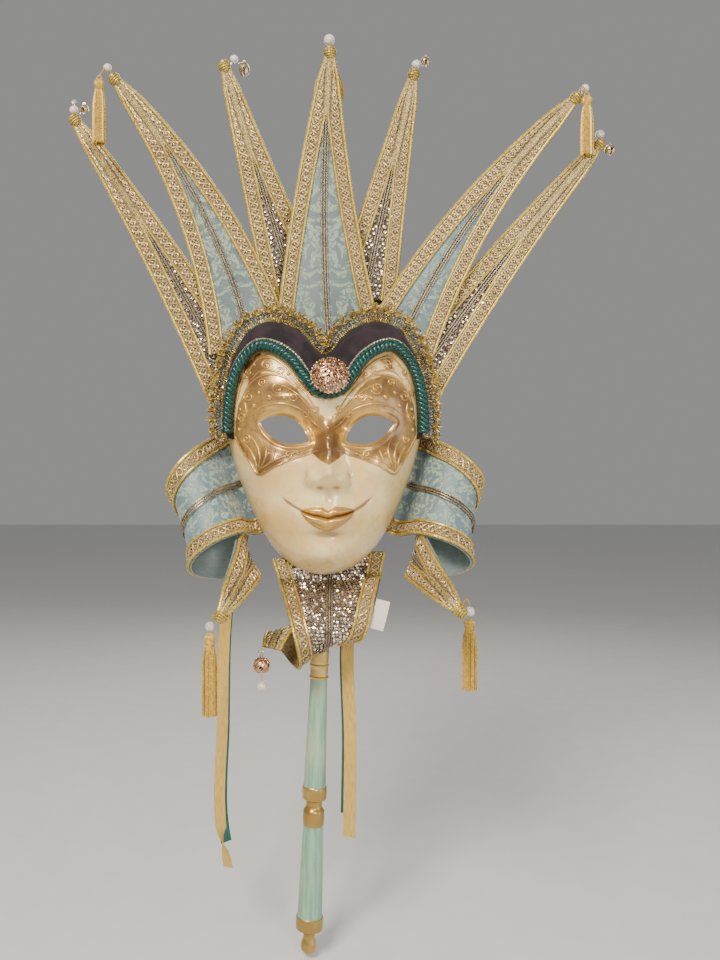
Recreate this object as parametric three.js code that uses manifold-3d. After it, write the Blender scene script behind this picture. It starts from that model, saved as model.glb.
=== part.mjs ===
// Venetian jester mask on a turned stick, as it hangs on a wall.
// Millimetres, +Z up, +X to the viewer's right. The face looks along -Y and the wall is y = 0.
// The origin is the hook behind the forehead, on the wall.

import * as THREE from 'three';
import { mergeVertices } from 'three/addons/utils/BufferGeometryUtils.js';
import Module from 'manifold-3d';

const wasm = await Module();
wasm.setup();

// ---------------------------------------------------------------- driving dimensions

const GAP = 0.3;                       // clearance between two touching pieces

// Face shell: a papier-mache shell, thickest across the nose.
const RIM_Y = -26;                     // plane of the shell's back rim
const FACE_RISE = 50;                  // depth of the plain shell, rim to centre
const SHELL_WALL = 3;
const FACE_CENTRE_Z = -115;            // the nose tip, and the pole of the shell's grid
const OUTLINE = [                      // right half of the rim, from the brow's notch to the chin
  [0, -24], [9, -17], [20, -5], [33, 2], [46, 4], [59, -2], [70, -18], [77, -40],
  [80, -65], [79, -88], [74, -111], [64.5, -137], [52, -164], [38, -184], [21, -197], [0, -202],
];
const FEATURES = [                     // [x, z, spread x, spread z, height], mirrored where x > 0
  [0, -119, 9, 8, 17], [0, -101, 7, 18, 12], [10, -124, 6, 6, 9], [0, -60, 16, 12, 6],
  [30, -60, 22, 8, 5], [31, -84, 18, 11, -9], [13, -84, 7, 9, -6], [43, -112, 17, 14, 7],
  [0, -148, 24, 16, 6], [0, -148, 16, 4, 3], [0, -156, 12, 4, 3], [0, -184, 18, 11, 8],
];
const EYE = { inner: [14, -94], outer: [52, -79], upper: 12, lower: 9 };

// Twisted cord along the brow, right half from the notch to the temple.
const CORD_LINE = [
  [0, -60], [11, -57], [19, -46], [29, -32], [41, -23], [52, -21], [62, -30], [68.5, -43],
  [72.5, -64], [73.5, -84],
];
const CORD_R = 4.7;
const CORD_SEAT = 1.1;                 // room between the cord and the face's curved front
const VELVET = 4;                      // thickness of the padded velvet over the brow
const VELVET_SEAT = 0.8;
const GIMP_R = 3.5;
const GIMP_CLEAR = 1.8;                // room between the velvet and the gimp
const GIMP_FORWARD = 6;                // distance of the gimp in front of the rim
const BROOCH = { front: [1, -96, -43], lean: 18 };

// Spikes: a card-stiffened strip that tapers to a tip ball, braided along both edges and the middle.
const PANEL_T = 1.5;
const BRAID_W = 13.5;
const BRAID_T = 2.0;
const RIB_W = 6.5;
const TIP_BALL_R = 5.5;
const TIP_BALL_OUT = 2.2;              // how far the ball's centre is past the end of the strip
const MID_LEAN = 0.15;                 // share of a spike's forward lean that its middle has
const SPIKE_STEPS = 8;
const CURL_STEP = 14;                  // longest spacing of a curl's sections
const CURL_TURN = 19;                  // largest turn between two of them, in degrees
const CURL_SEAT = 0.9;                 // room under a curl's braid, which bends with the strip
const RIDGE = { brocade: 0.03, sequin: 0.02 };  // height of a spike's fold, as a share of its width

// base, tip: [x, y, z]. bow: sideways bulge of the centre line. width: at the base and at the tip.
const SPIKES = {
  outer_left: { base: [-73, -8.6, -49], tip: [-202, -34, 167], bow: 4, width: [52, 12], cloth: 'sequin' },
  left: { base: [-61, -16.2, -12], tip: [-167, -48, 194], bow: 15, width: [72, 12], cloth: 'brocade' },
  inner_left: { base: [-22, -8.6, 30], tip: [-81, -34, 211], bow: 0, width: [54, 11], cloth: 'sequin' },
  centre: { base: [4, -20.8, -12], tip: [3, -54, 212], bow: -4, width: [91, 12], cloth: 'brocade' },
  inner_right: { base: [35, -8.6, 30], tip: [72, -34, 204], bow: 0, width: [54, 11], cloth: 'sequin' },
  right: { base: [63, -16.2, -12], tip: [198, -48, 179], bow: -12, width: [62, 12], cloth: 'brocade' },
  outer_right: { base: [72, -8.6, -49], tip: [222, -34, 147], bow: -4, width: [52, 12], cloth: 'sequin' },
};

// Curls: the same strips, rolled. axis is the roll's axis, which the strip winds along; out is the
// way the strip first runs; runs are [length, turn in degrees]; pitch is the winding angle.
const CURLS = {
  cheek_curl_left: {
    start: [-56, -15, -119], axis: [0.34, -0.31, -0.88], out: [-1, 0, 0], heading: -5,
    runs: [[12, 0], [12, -55], [20, 8], [26, 60], [56, 155], [52, 125], [67, 66]],
    pitch: [12, 45], width: [98, 13], cloth: 'brocade',
  },
  cheek_curl_right: {
    start: [56, -15, -121], axis: [-0.24, -0.31, -0.92], out: [1, 0, 0], heading: -5,
    runs: [[12, 0], [12, -55], [20, 8], [26, 60], [54, 155], [49, 125], [70, 50]],
    pitch: [14, 42], width: [95, 13], cloth: 'brocade',
  },
  chin_curl: {
    start: [4, -22, -186], axis: [-0.92, -0.10, -0.36], out: [0, 0, -1], heading: 0,
    runs: [[17, 0], [8, -52], [22, 4], [22, 50], [38, 155], [32, 125], [21, 40]],
    pitch: [18, 38], width: [96, 15], cloth: 'sequin', ball: false,
  },
};

// Stick: [z, radius] from the top down to the ball at its foot, and which way it leans.
const STICK_TOP = [1, -12.5, -168];
const STICK_LEAN = 2.2;                // degrees, foot to the viewer's left
const STICK_PROFILE = [
  [0, 6.8], [-97, 6.8], [-98, 7.5], [-110, 7.5], [-111, 8.2], [-113, 7.4], [-120, 7.4], [-121, 8.2],
  [-123, 7.1], [-212, 9.3], [-213, 10.1], [-223, 10.1], [-225, 6.7], [-230, 6.7], [-233, 8.8],
  [-245, 8.8], [-246, 8.3], [-321, 10.4], [-322, 11.3], [-332, 11.3], [-336, 4.8], [-340, 4.8],
  [-344, 6.3], [-350, 6.3], [-354, 3],
];

// Crown board: an arch of card behind the brow, with a tab up the middle, that the spikes are glued to.
const BOARD = { back: -4.8, thickness: 1.8, innerShare: 0.8, outerShare: 1.1, sectors: 7 };
const BOARD_TAB = { x: [-46, 56], z: [-10, 48] };
const HOOK_LOOP = { centre: [0, -3.5, -9], radius: 9, wire: 1.1 };
const STICK_BLOCK = { x: [-11, 12], y: [-50, -20.2], z: [-182, -162] };
const LABEL = { corner: [41, -47, -219], size: [11, 0.8, 24], lean: -14 };

// Pearls and beads sewn to the tips: centre [x, y, z] and radius.
const PEARLS = {
  pearl_outer_left: [-204.5, -34, 177.5, 3.6],
  pearl_left: [-173.5, -52, 203.5, 3.2],
  pearl_inner_left: [-74, -34, 219, 3.3],
  pearl_centre: [2.5, -53, 225, 4.2],
  pearl_inner_right: [74.5, -34, 214.8, 3.4],
  pearl_right: [206, -52, 187, 3.2],
  pearl_outer_right: [224.5, -34, 157.5, 3.6],
  bead_chin: [-51, -60, -259.3, 3],
};

// Pearl under the chin bell: centre, radius, and the top of its pin.
const PEARL_DROP = { centre: [-51, -60, -286], radius: 4.1, pinTop: -276.8, pinR: 0.5 };

// Tassels: hang is the top of the pearl or knot that each swings from.
const TASSELS = {
  tassel_left: { hang: [-179, -57, 193], length: 52, radius: 5.2 },
  tassel_centre: { hang: [3, -37, 219], length: 35, radius: 12, flat: 0.4 },
  tassel_right: { hang: [205.5, -57, 180], length: 49, radius: 5.2 },
  tassel_cheek_left: { hang: [-91.5, -60, -234.5], length: 66, radius: 6, pearl: 3.9 },
  tassel_cheek_right: { hang: [112, -62, -222.5], length: 57, radius: 5.8, pearl: 4 },
};

// Jingle bells: centre, radius, stretch along Z, and the hinge point that each is sewn at.
const BELLS = {
  bell_outer_left: { centre: [-196, -34, 178.2], radius: 3.9, tall: 1 },
  bell_inner_left: { centre: [-65.5, -34, 210.5], radius: 4.3, tall: 1.4 },
  bell_inner_right: { centre: [82, -34, 217], radius: 4, tall: 1 },
  bell_outer_right: { centre: [232.5, -34, 145], radius: 4.4, tall: 1 },
  bell_chin: { centre: [-51, -60, -269.5], radius: 6.6, tall: 1 },
};
const BELL_WALL = 0.7;
const BELL_SLOT = 1.4;
const PELLET = 0.32;                   // pellet's radius, as a share of its bell's
const PELLET_LIFT = 1;

// Tie ribbons: route of the gold one. The green one lies behind it, and aside of it by so much.
const RIBBON_T = 0.6;
const RIBBON_LAYER = 1.6;              // distance between the two ribbons' middles
const RIBBONS = {
  left: {
    width: 9.5, turn: 25, aside: 3,
    route: [[-60, -10.5, -118], [-64, -7, -140], [-69, -5, -175], [-78, -5, -210],
      [-83, -7, -250], [-85, -9, -330], [-87, -10, -405], [-80, -11, -450]],
  },
  right: {
    width: 10.5, turn: -20, aside: -3,
    route: [[60, -10.5, -118], [50, -6, -150], [34, -4, -190], [24, -4.5, -230], [21, -6, -270],
      [23, -9, -340], [22, -10, -425]],
  },
};

// ---------------------------------------------------------------- small helpers

const DEG = Math.PI / 180;
const vec = (x, y, z) => new THREE.Vector3(x, y, z);
const group = new THREE.Group();

const FINISH = {
  papier_mache: { color: 0xe9dcc2, roughness: 0.35, metalness: 0 },
  velvet: { color: 0x2a2029, roughness: 0.95, metalness: 0 },
  green_satin: { color: 0x0d5a48, roughness: 0.4, metalness: 0 },
  gold_satin: { color: 0xc9a04e, roughness: 0.35, metalness: 0.1 },
  gold_thread: { color: 0xb8924a, roughness: 0.5, metalness: 0.5 },
  brocade: { color: 0x7fa0a0, roughness: 0.55, metalness: 0.05 },
  sequin: { color: 0x5a4a3c, roughness: 0.35, metalness: 0.5 },
  brass: { color: 0xc08f55, roughness: 0.3, metalness: 1 },
  pearl: { color: 0xf1ece4, roughness: 0.2, metalness: 0 },
  crystal: { color: 0xe6e6e0, roughness: 0.1, metalness: 0 },
  card: { color: 0x7a6a55, roughness: 0.9, metalness: 0 },
  painted_wood: { color: 0x7fae90, roughness: 0.4, metalness: 0 },
  raw_wood: { color: 0x9e7a52, roughness: 0.8, metalness: 0 },
  cloth: { color: 0xe8e0d0, roughness: 0.9, metalness: 0 },
};

function add(name, geometry, finish) {
  const mesh = new THREE.Mesh(geometry, new THREE.MeshStandardMaterial(FINISH[finish]));
  mesh.name = name;
  group.add(mesh);
  return mesh;
}

// Merges the shared corners, so that the mesh is one closed body.
function weld(geometry) {
  geometry.deleteAttribute('normal');
  geometry.deleteAttribute('uv');
  return mergeVertices(geometry, 1e-4);
}

function toManifold(geometry) {
  const welded = weld(geometry.clone());
  const vertProperties = new Float32Array(welded.attributes.position.array);
  const triVerts = new Uint32Array(welded.index.array);
  return new wasm.Manifold(new wasm.Mesh({ numProp: 3, vertProperties, triVerts }));
}

function fromManifold(solid) {
  const { vertProperties, triVerts } = solid.getMesh();
  const geometry = new THREE.BufferGeometry();
  geometry.setAttribute('position', new THREE.BufferAttribute(new Float32Array(vertProperties), 3));
  geometry.setIndex(new THREE.BufferAttribute(new Uint32Array(triVerts), 1));
  return geometry;
}

const join = (geometries) => fromManifold(
  geometries.map(toManifold).reduce((sum, next) => sum.add(next)));

const cut = (geometry, tools) => fromManifold(
  tools.map(toManifold).reduce((rest, tool) => rest.subtract(tool), toManifold(geometry)));

// Closed solid through rows of closed sections. fan is the section's corner that the end caps use.
function loft(sections, fan = 0) {
  const count = sections[0].length;
  const positions = sections.flat().flatMap((p) => [p.x, p.y, p.z]);
  const index = [];
  const last = (sections.length - 1) * count;
  for (let row = 0; row < last; row += count) {
    for (let i = 0; i < count; i += 1) {
      const a = row + i;
      const b = row + ((i + 1) % count);
      index.push(a, b, a + count, b, b + count, a + count);
    }
  }
  for (let i = 1; i < count - 1; i += 1) {
    const [a, b, c] = [fan, (fan + i) % count, (fan + i + 1) % count];
    index.push(a, c, b, last + a, last + b, last + c);
  }
  const geometry = new THREE.BufferGeometry();
  geometry.setAttribute('position', new THREE.Float32BufferAttribute(positions, 3));
  geometry.setIndex(index);
  return facingOut(geometry);
}

// Turns every triangle round when the closed mesh is inside out.
function facingOut(geometry) {
  const p = geometry.attributes.position;
  const index = geometry.index.array;
  const [a, b, c] = [vec(), vec(), vec()];
  let volume = 0;
  for (let i = 0; i < index.length; i += 3) {
    a.fromBufferAttribute(p, index[i]);
    b.fromBufferAttribute(p, index[i + 1]);
    c.fromBufferAttribute(p, index[i + 2]);
    volume += a.dot(b.cross(c));
  }
  if (volume < 0) {
    for (let i = 0; i < index.length; i += 3) {
      [index[i + 1], index[i + 2]] = [index[i + 2], index[i + 1]];
    }
  }
  return geometry;
}

// Round tube of sides corners along a list of points.
function tube(points, radius, sides, steps) {
  const curve = new THREE.CatmullRomCurve3(points, false, 'centripetal');
  const frames = curve.computeFrenetFrames(steps, false);
  const sections = [];
  for (let i = 0; i <= steps; i += 1) {
    const centre = curve.getPointAt(i / steps);
    const section = [];
    for (let k = 0; k < sides; k += 1) {
      const angle = (k / sides) * 2 * Math.PI;
      section.push(centre.clone()
        .addScaledVector(frames.normals[i], radius * Math.cos(angle))
        .addScaledVector(frames.binormals[i], radius * Math.sin(angle)));
    }
    sections.push(section);
  }
  return loft(sections);
}

const ball = (centre, radius, scale = [1, 1, 1]) => new THREE.IcosahedronGeometry(radius, 1)
  .scale(...scale).translate(...centre);

// Turned piece: [z, radius] pairs, closed on its axis, placed with its z = 0 at top.
function turned(profile, top, segments) {
  const points = [new THREE.Vector2(0, profile[0][0])];
  profile.forEach(([z, r]) => points.push(new THREE.Vector2(r, z)));
  points.push(new THREE.Vector2(0, profile.at(-1)[0]));
  const geometry = weld(new THREE.LatheGeometry(points, segments));
  return facingOut(geometry.rotateX(Math.PI / 2).translate(...top));
}

// ---------------------------------------------------------------- face shell

const mirrored = (half) => [
  ...half.slice(1).reverse().map(([x, z]) => [-x, z]),
  ...half,
];
const smooth = (points, closed) => new THREE.CatmullRomCurve3(
  points.map(([x, z]) => vec(x, 0, z)), closed, 'centripetal');

const rimCurve = smooth(
  [...OUTLINE, ...OUTLINE.slice(1, -1).reverse().map(([x, z]) => [-x, z])], true);
const RIM_POINTS = rimCurve.getSpacedPoints(720);

// Distance from the pole to the rim in the direction of (x, z).
function rimRadius(x, z) {
  const angle = Math.atan2(z - FACE_CENTRE_Z, x);
  let best = Infinity;
  let radius = 1;
  RIM_POINTS.forEach((p) => {
    const miss = Math.abs(Math.atan2(
      Math.sin(Math.atan2(p.z - FACE_CENTRE_Z, p.x) - angle),
      Math.cos(Math.atan2(p.z - FACE_CENTRE_Z, p.x) - angle)));
    if (miss < best) {
      best = miss;
      radius = Math.hypot(p.x, p.z - FACE_CENTRE_Z);
    }
  });
  return radius;
}

// Depth of the shell's front in front of the wall, at (x, z).
function faceDepth(x, z) {
  const share = Math.min(1, Math.hypot(x, z - FACE_CENTRE_Z) / rimRadius(x, z));
  const shell = (1 - share ** 3) ** 0.6;
  let depth = -RIM_Y + FACE_RISE * shell;
  const fade = Math.min(1, (1 - share) * 6);
  FEATURES.forEach(([fx, fz, sx, sz, height]) => {
    const sides = fx === 0 ? [0] : [-fx, fx];
    sides.forEach((cx) => {
      depth += fade * height * Math.exp(-(((x - cx) / sx) ** 2) - ((z - fz) / sz) ** 2);
    });
  });
  return depth;
}

const SECTORS = 40;
const BROW_SECTORS = 8;                // sectors of the brow, to each side of the notch
const RINGS = [0.12, 0.27, 0.42, 0.57, 0.71, 0.84, 0.94, 1];

// Point of the shell's front at a sector and a ring, and the same point pushed out along its normal.
function facePoint(sector, ring, push = 0) {
  const angle = (sector / SECTORS) * 2 * Math.PI + Math.PI / 2;
  const radius = rimRadius(Math.cos(angle), FACE_CENTRE_Z + Math.sin(angle)) * ring;
  const x = radius * Math.cos(angle);
  const z = FACE_CENTRE_Z + radius * Math.sin(angle);
  const point = vec(x, -faceDepth(x, z), z);
  return point.addScaledVector(faceNormal(x, z), push);
}

function faceNormal(x, z) {
  const step = 1.5;
  const shrink = 0.985;
  const [px, pz] = [x * shrink, FACE_CENTRE_Z + (z - FACE_CENTRE_Z) * shrink];
  const slopeX = (faceDepth(px + step, pz) - faceDepth(px - step, pz)) / (2 * step);
  const slopeZ = (faceDepth(px, pz + step) - faceDepth(px, pz - step)) / (2 * step);
  return vec(-slopeX, -1, -slopeZ).normalize();
}

function shellSolid() {
  const rows = [];
  RINGS.forEach((ring) => rows.push(ringOfPoints(ring, 0)));
  [...RINGS].reverse().forEach((ring) => {
    rows.push(ringOfPoints(ring, -SHELL_WALL).map((p) => vec(p.x, Math.min(p.y, RIM_Y), p.z)));
  });
  return polarSolid(rows);
}

function ringOfPoints(ring, push) {
  return Array.from({ length: SECTORS }, (_, sector) => facePoint(sector, ring, push));
}

// Rows of rings from the front pole out to the rim and back to the inner pole.
function polarSolid(rows) {
  const count = rows[0].length;
  const pole = (row) => row.reduce((sum, p) => sum.add(p), vec(0, 0, 0)).divideScalar(count);
  const positions = rows.flat().concat([pole(rows[0]), pole(rows.at(-1))]);
  const index = [];
  for (let row = 0; row < rows.length - 1; row += 1) {
    for (let i = 0; i < count; i += 1) {
      const a = row * count + i;
      const b = row * count + ((i + 1) % count);
      index.push(a, b, a + count, b, b + count, a + count);
    }
  }
  const front = rows.length * count;
  const last = (rows.length - 1) * count;
  for (let i = 0; i < count; i += 1) {
    const j = (i + 1) % count;
    index.push(front, j, i, front + 1, last + i, last + j);
  }
  const geometry = new THREE.BufferGeometry();
  geometry.setAttribute('position',
    new THREE.Float32BufferAttribute(positions.flatMap((p) => [p.x, p.y, p.z]), 3));
  geometry.setIndex(index);
  return facingOut(geometry);
}

// Almond prism between the two corners of an eye. side is 1 for the right eye and -1 for the left.
function eyeCutter(side) {
  const inner = new THREE.Vector2(...EYE.inner);
  const outer = new THREE.Vector2(...EYE.outer);
  const along = outer.clone().sub(inner);
  const across = new THREE.Vector2(-along.y, along.x).normalize();
  const corners = [];
  const steps = 7;
  const point = (share, height) => inner.clone().addScaledVector(along, share)
    .addScaledVector(across, height * Math.sin(Math.PI * share) ** 0.8);
  for (let i = 0; i < steps; i += 1) corners.push(point(i / steps, EYE.upper));
  for (let i = 0; i < steps; i += 1) corners.push(point(1 - i / steps, -EYE.lower));
  const section = (y) => corners.map((c) => vec(side * c.x, y, c.y));
  return loft([section(-130), section(-30)]);
}

// Everything inside the shell's front, closed at a plane behind it: pieces outside are trimmed to it.
const headRoom = (back) => polarSolid([
  ...RINGS.map((ring) => ringOfPoints(ring, GAP)),
  ringOfPoints(1, GAP).map((p) => p.setY(back)),
]);

function buildFace() {
  add('face_shell', cut(shellSolid(), [eyeCutter(1), eyeCutter(-1)]), 'papier_mache');
}

// ---------------------------------------------------------------- brow: velvet, cord, gimp, brooch

const cordCurve = smooth(mirrored(CORD_LINE), false);

function cordPoints(count, lift) {
  return cordCurve.getSpacedPoints(count).map(({ x, z }) => (
    vec(x, -faceDepth(x, z), z).addScaledVector(faceNormal(x, z), lift)));
}

// Rim share at which the velvet starts, in the direction of a sector: just outside the cord.
function velvetStart(sector) {
  const angle = (sector / SECTORS) * 2 * Math.PI + Math.PI / 2;
  let best = Infinity;
  let share = 1;
  cordCurve.getSpacedPoints(300).forEach(({ x, z }) => {
    const at = Math.atan2(z - FACE_CENTRE_Z, x);
    const miss = Math.abs(Math.atan2(Math.sin(at - angle), Math.cos(at - angle)));
    if (miss < best) {
      best = miss;
      share = Math.hypot(x, z - FACE_CENTRE_Z) / rimRadius(x, z);
    }
  });
  return share;
}

function buildVelvet() {
  const sections = [];
  for (let sector = -BROW_SECTORS; sector <= BROW_SECTORS; sector += 1) {
    const start = Math.min(0.985, velvetStart(sector));
    const inner = [];
    const outer = [];
    for (let i = 0; i <= 3; i += 1) {
      const ring = start + (1 - start) * (i / 3);
      inner.push(facePoint(sector, ring, VELVET_SEAT));
      outer.push(facePoint(sector, ring, VELVET_SEAT + VELVET));
    }
    sections.push([...inner, ...outer.reverse()]);
  }
  const cordRoom = cordSolid(CORD_R + GAP);
  add('brow_velvet', cut(loft(sections, 2), [headRoom(0), cordRoom]), 'velvet');
}

const cordSolid = (radius) => tube(cordPoints(48, CORD_R + CORD_SEAT), radius, 8, 36);

function buildCord() {
  add('brow_cord', cordSolid(CORD_R), 'green_satin');
}

// Curled metallic edging just outside the velvet, along the rim of the brow.
function buildGimp() {
  const points = [];
  for (let sector = -BROW_SECTORS; sector <= BROW_SECTORS; sector += 1) {
    const [before, after] = [facePoint(sector - 0.5, 1), facePoint(sector + 0.5, 1)];
    const away = vec(before.z - after.z, 0, after.x - before.x).normalize();
    if (away.dot(vec(before.x, 0, before.z - FACE_CENTRE_Z)) < 0) away.negate();
    points.push(facePoint(sector, 1).addScaledVector(away, VELVET + GIMP_R + GIMP_CLEAR)
      .setY(RIM_Y - GIMP_FORWARD));
  }
  add('rim_gimp', tube(points, GIMP_R, 6, 32), 'gold_thread');
}

function buildBrooch() {
  const profile = [[0, 4], [-1.5, 9], [-4, 13], [-6.5, 14.8], [-8, 14.8], [-9, 12]];
  const dome = turned(profile, [0, 0, 0], 16);
  add('brooch', dome.rotateX((90 - BROOCH.lean) * DEG).translate(...BROOCH.front), 'brass');
}

// ---------------------------------------------------------------- spikes and curls

// A frame along a strip: centre point p, across direction w, front direction n, half width h.
function spikeFrames({ base, tip, bow, width, cloth }, steps) {
  const from = vec(...base);
  const to = vec(...tip);
  const run = to.clone().sub(from);
  const side = vec(run.z, 0, -run.x).normalize();
  const mid = from.clone().lerp(to, 0.5).addScaledVector(side, 2 * bow);
  mid.y = mix([base[1], tip[1]], MID_LEAN);
  const curve = new THREE.QuadraticBezierCurve3(from, mid, to);
  return Array.from({ length: steps + 1 }, (_, i) => {
    const share = i / steps;
    const along = curve.getTangent(share);
    const w = vec(along.z, 0, -along.x).normalize();
    const n = vec().crossVectors(w, along).normalize();
    if (n.y > 0) n.negate();
    return { p: curve.getPoint(share), w, n, t: along, h: mix(width, share) / 2, ridge: RIDGE[cloth] };
  });
}

const mix = ([a, b], share) => a + (b - a) * share;

function curlFrames({ start, axis, out, heading, runs, pitch, width }, step) {
  const a = vec(...axis).normalize();
  const outward = vec(...out);
  const l = outward.clone().addScaledVector(a, -outward.dot(a)).normalize();
  const b = vec().crossVectors(a, l);
  if (b.y < 0) b.negate();
  const total = runs.reduce((sum, [length]) => sum + length, 0);
  const p = vec(...start);
  const frames = [];
  let angle = heading * DEG;
  let done = 0;
  const record = () => {
    const share = done / total;
    const wind = mix(pitch, share) * DEG;
    const round = l.clone().multiplyScalar(Math.cos(angle)).addScaledVector(b, Math.sin(angle));
    const n = l.clone().multiplyScalar(Math.sin(angle)).addScaledVector(b, -Math.cos(angle));
    const t = round.clone().multiplyScalar(Math.cos(wind)).addScaledVector(a, Math.sin(wind));
    const w = a.clone().multiplyScalar(Math.cos(wind)).addScaledVector(round, -Math.sin(wind));
    frames.push({ p: p.clone(), w, n, t, h: mix(width, share) / 2, ridge: 0 });
    return t;
  };
  runs.forEach(([length, turn]) => {
    const count = Math.max(Math.round(length / step), Math.ceil(Math.abs(turn) / CURL_TURN));
    for (let i = 0; i < count; i += 1) {
      const t = record();
      angle += (turn * DEG) / count;
      done += length / count;
      p.addScaledVector(t, length / count);
    }
  });
  record();
  return frames;
}

// Point of a strip at u in [-1, 1] across it, lifted off its front.
const stripPoint = ({ p, w, n, h, ridge }, u, lift) => p.clone()
  .addScaledVector(w, u * h)
  .addScaledVector(n, (1 - Math.abs(u)) * 2 * h * ridge + lift);

// The strip itself stops short of the tip ball. It is divided where the braids' inner edges lie.
function panelSolid(frames) {
  return loft(frames.slice(0, -1).map((f) => {
    const inner = Math.max(0.06, 1 - BRAID_W / f.h);
    const across = [-1, -inner, 0, inner, 1];
    return [
      ...across.map((u) => stripPoint(f, u, 0)),
      ...across.reverse().map((u) => stripPoint(f, u, -PANEL_T)),
    ];
  }), 2);
}

// Both edge braids, the middle braid and the tip ball, sewn together as one trim.
function trimSolid(frames, seat, withBall = true) {
  const low = seat;
  const high = seat + BRAID_T;
  const edge = (side) => loft(frames.map((f) => {
    const inner = side * Math.max(-0.02, 1 - BRAID_W / f.h);
    const [from, to] = side > 0 ? [side, inner] : [inner, side];
    return [stripPoint(f, from, low), stripPoint(f, from, high),
      stripPoint(f, to, high), stripPoint(f, to, low)];
  }));
  const rib = loft(frames.map((f) => {
    const half = Math.min(0.5, RIB_W / 2 / f.h);
    return [stripPoint(f, 0, low + 0.1), stripPoint(f, half, low), stripPoint(f, half, high),
      stripPoint(f, 0, high + 0.5), stripPoint(f, -half, high), stripPoint(f, -half, low)];
  }));
  const last = frames.at(-1);
  const centre = last.p.clone().addScaledVector(last.n, BRAID_T / 2)
    .addScaledVector(last.t, TIP_BALL_OUT);
  const tip = withBall ? [ball(centre.toArray(), TIP_BALL_R)] : [];
  return join([edge(-1), edge(1), rib, ...tip]);
}

// A curl is glued to the shell's side and rim, so it is trimmed to them.
function outsideHead(geometry) {
  const rest = toManifold(geometry).subtract(toManifold(headRoom(RIM_Y + GAP)));
  const parts = rest.decompose().sort((a, b) => b.volume() - a.volume());
  return fromManifold(parts[0]);
}

function buildSpikes() {
  Object.entries(SPIKES).forEach(([name, spike]) => {
    const frames = spikeFrames(spike, SPIKE_STEPS);
    add(`spike_${name}`, panelSolid(frames), spike.cloth);
    add(`braid_${name}`, trimSolid(frames, GAP), 'gold_thread');
  });
}

function buildCurls() {
  Object.entries(CURLS).forEach(([name, curl]) => {
    const frames = curlFrames(curl, CURL_STEP);
    add(name, outsideHead(panelSolid(frames)), curl.cloth);
    add(`braid_${name}`, outsideHead(trimSolid(frames, CURL_SEAT, curl.ball)), 'gold_thread');
  });
}

// ---------------------------------------------------------------- stick

function buildStick() {
  const stick = turned(STICK_PROFILE, [0, 0, 0], 12);
  stick.rotateY(STICK_LEAN * DEG).translate(...STICK_TOP);
  add('stick', stick, 'painted_wood');
}

// ---------------------------------------------------------------- board, block, label, loop

// Flat arch behind the brow's rim, from temple to temple, and the tab behind the inner spikes.
function buildBoard() {
  const sections = [];
  for (let sector = -BOARD.sectors; sector <= BOARD.sectors; sector += 1) {
    const corner = (share, y) => {
      const rim = facePoint(sector, 1);
      return vec(rim.x * share, y, FACE_CENTRE_Z + (rim.z - FACE_CENTRE_Z) * share);
    };
    const front = BOARD.back - BOARD.thickness;
    sections.push([
      corner(BOARD.innerShare, BOARD.back), corner(BOARD.outerShare, BOARD.back),
      corner(BOARD.outerShare, front), corner(BOARD.innerShare, front),
    ]);
  }
  const tab = boxBetween(BOARD_TAB.x, [BOARD.back - BOARD.thickness, BOARD.back], BOARD_TAB.z);
  add('crown_board', join([loft(sections), tab]), 'card');
}

function buildHookLoop() {
  const loop = new THREE.TorusGeometry(HOOK_LOOP.radius, HOOK_LOOP.wire, 6, 12);
  add('hanging_loop', weld(loop.rotateX(Math.PI / 2).translate(...HOOK_LOOP.centre)), 'gold_satin');
}

function boxBetween([x0, x1], [y0, y1], [z0, z1]) {
  return new THREE.BoxGeometry(x1 - x0, y1 - y0, z1 - z0)
    .translate((x0 + x1) / 2, (y0 + y1) / 2, (z0 + z1) / 2);
}

// Wooden block glued inside the chin, which the stick is screwed to.
function buildStickBlock() {
  const { x, y, z } = STICK_BLOCK;
  add('stick_block', boxBetween(x, y, z), 'raw_wood');
}

function buildLabel() {
  const { corner, size, lean } = LABEL;
  const label = new THREE.BoxGeometry(...size).translate(size[0] / 2, 0, -size[2] / 2);
  label.rotateY(-lean * DEG).translate(...corner);
  add('care_label', label, 'cloth');
}

// ---------------------------------------------------------------- pearls, tassels, bells

function buildPearls() {
  Object.entries(PEARLS).forEach(([name, [x, y, z, r]]) => {
    add(name, ball([x, y, z], r), name.startsWith('bead') ? 'crystal' : 'pearl');
  });
}

function buildPearlDrop() {
  const { centre, radius, pinTop, pinR } = PEARL_DROP;
  const length = pinTop - centre[2];
  const pin = new THREE.CylinderGeometry(pinR, pinR, length, 6).rotateX(Math.PI / 2)
    .translate(centre[0], centre[1], centre[2] + length / 2);
  add('pearl_chin', join([ball(centre, radius), pin]), 'pearl');
}

// Head, neck and skirt in one turned piece. A hanging pearl takes the top of the drop.
function buildTassels() {
  Object.entries(TASSELS).forEach(([name, { hang, length, radius, pearl = 0, flat = 1 }]) => {
    const top = pearl > 0 ? 2 * pearl + 1 : 0;
    if (pearl > 0) {
      const centre = [hang[0], hang[1], hang[2] - pearl - 0.5];
      add(name.replace('tassel', 'pearl'), ball(centre, pearl), 'pearl');
    }
    const profile = [
      [-top, 1], [-top - 1.5, 0.55 * radius], [-top - 4, 0.78 * radius], [-top - 7, 0.6 * radius],
      [-top - 8.5, 0.72 * radius], [-top - 14, 0.92 * radius], [-top - length, radius],
    ];
    const tassel = turned(profile, [0, 0, 0], 8).scale(1, flat, 1).translate(...hang);
    add(name, tassel, 'gold_satin');
  });
}

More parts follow.
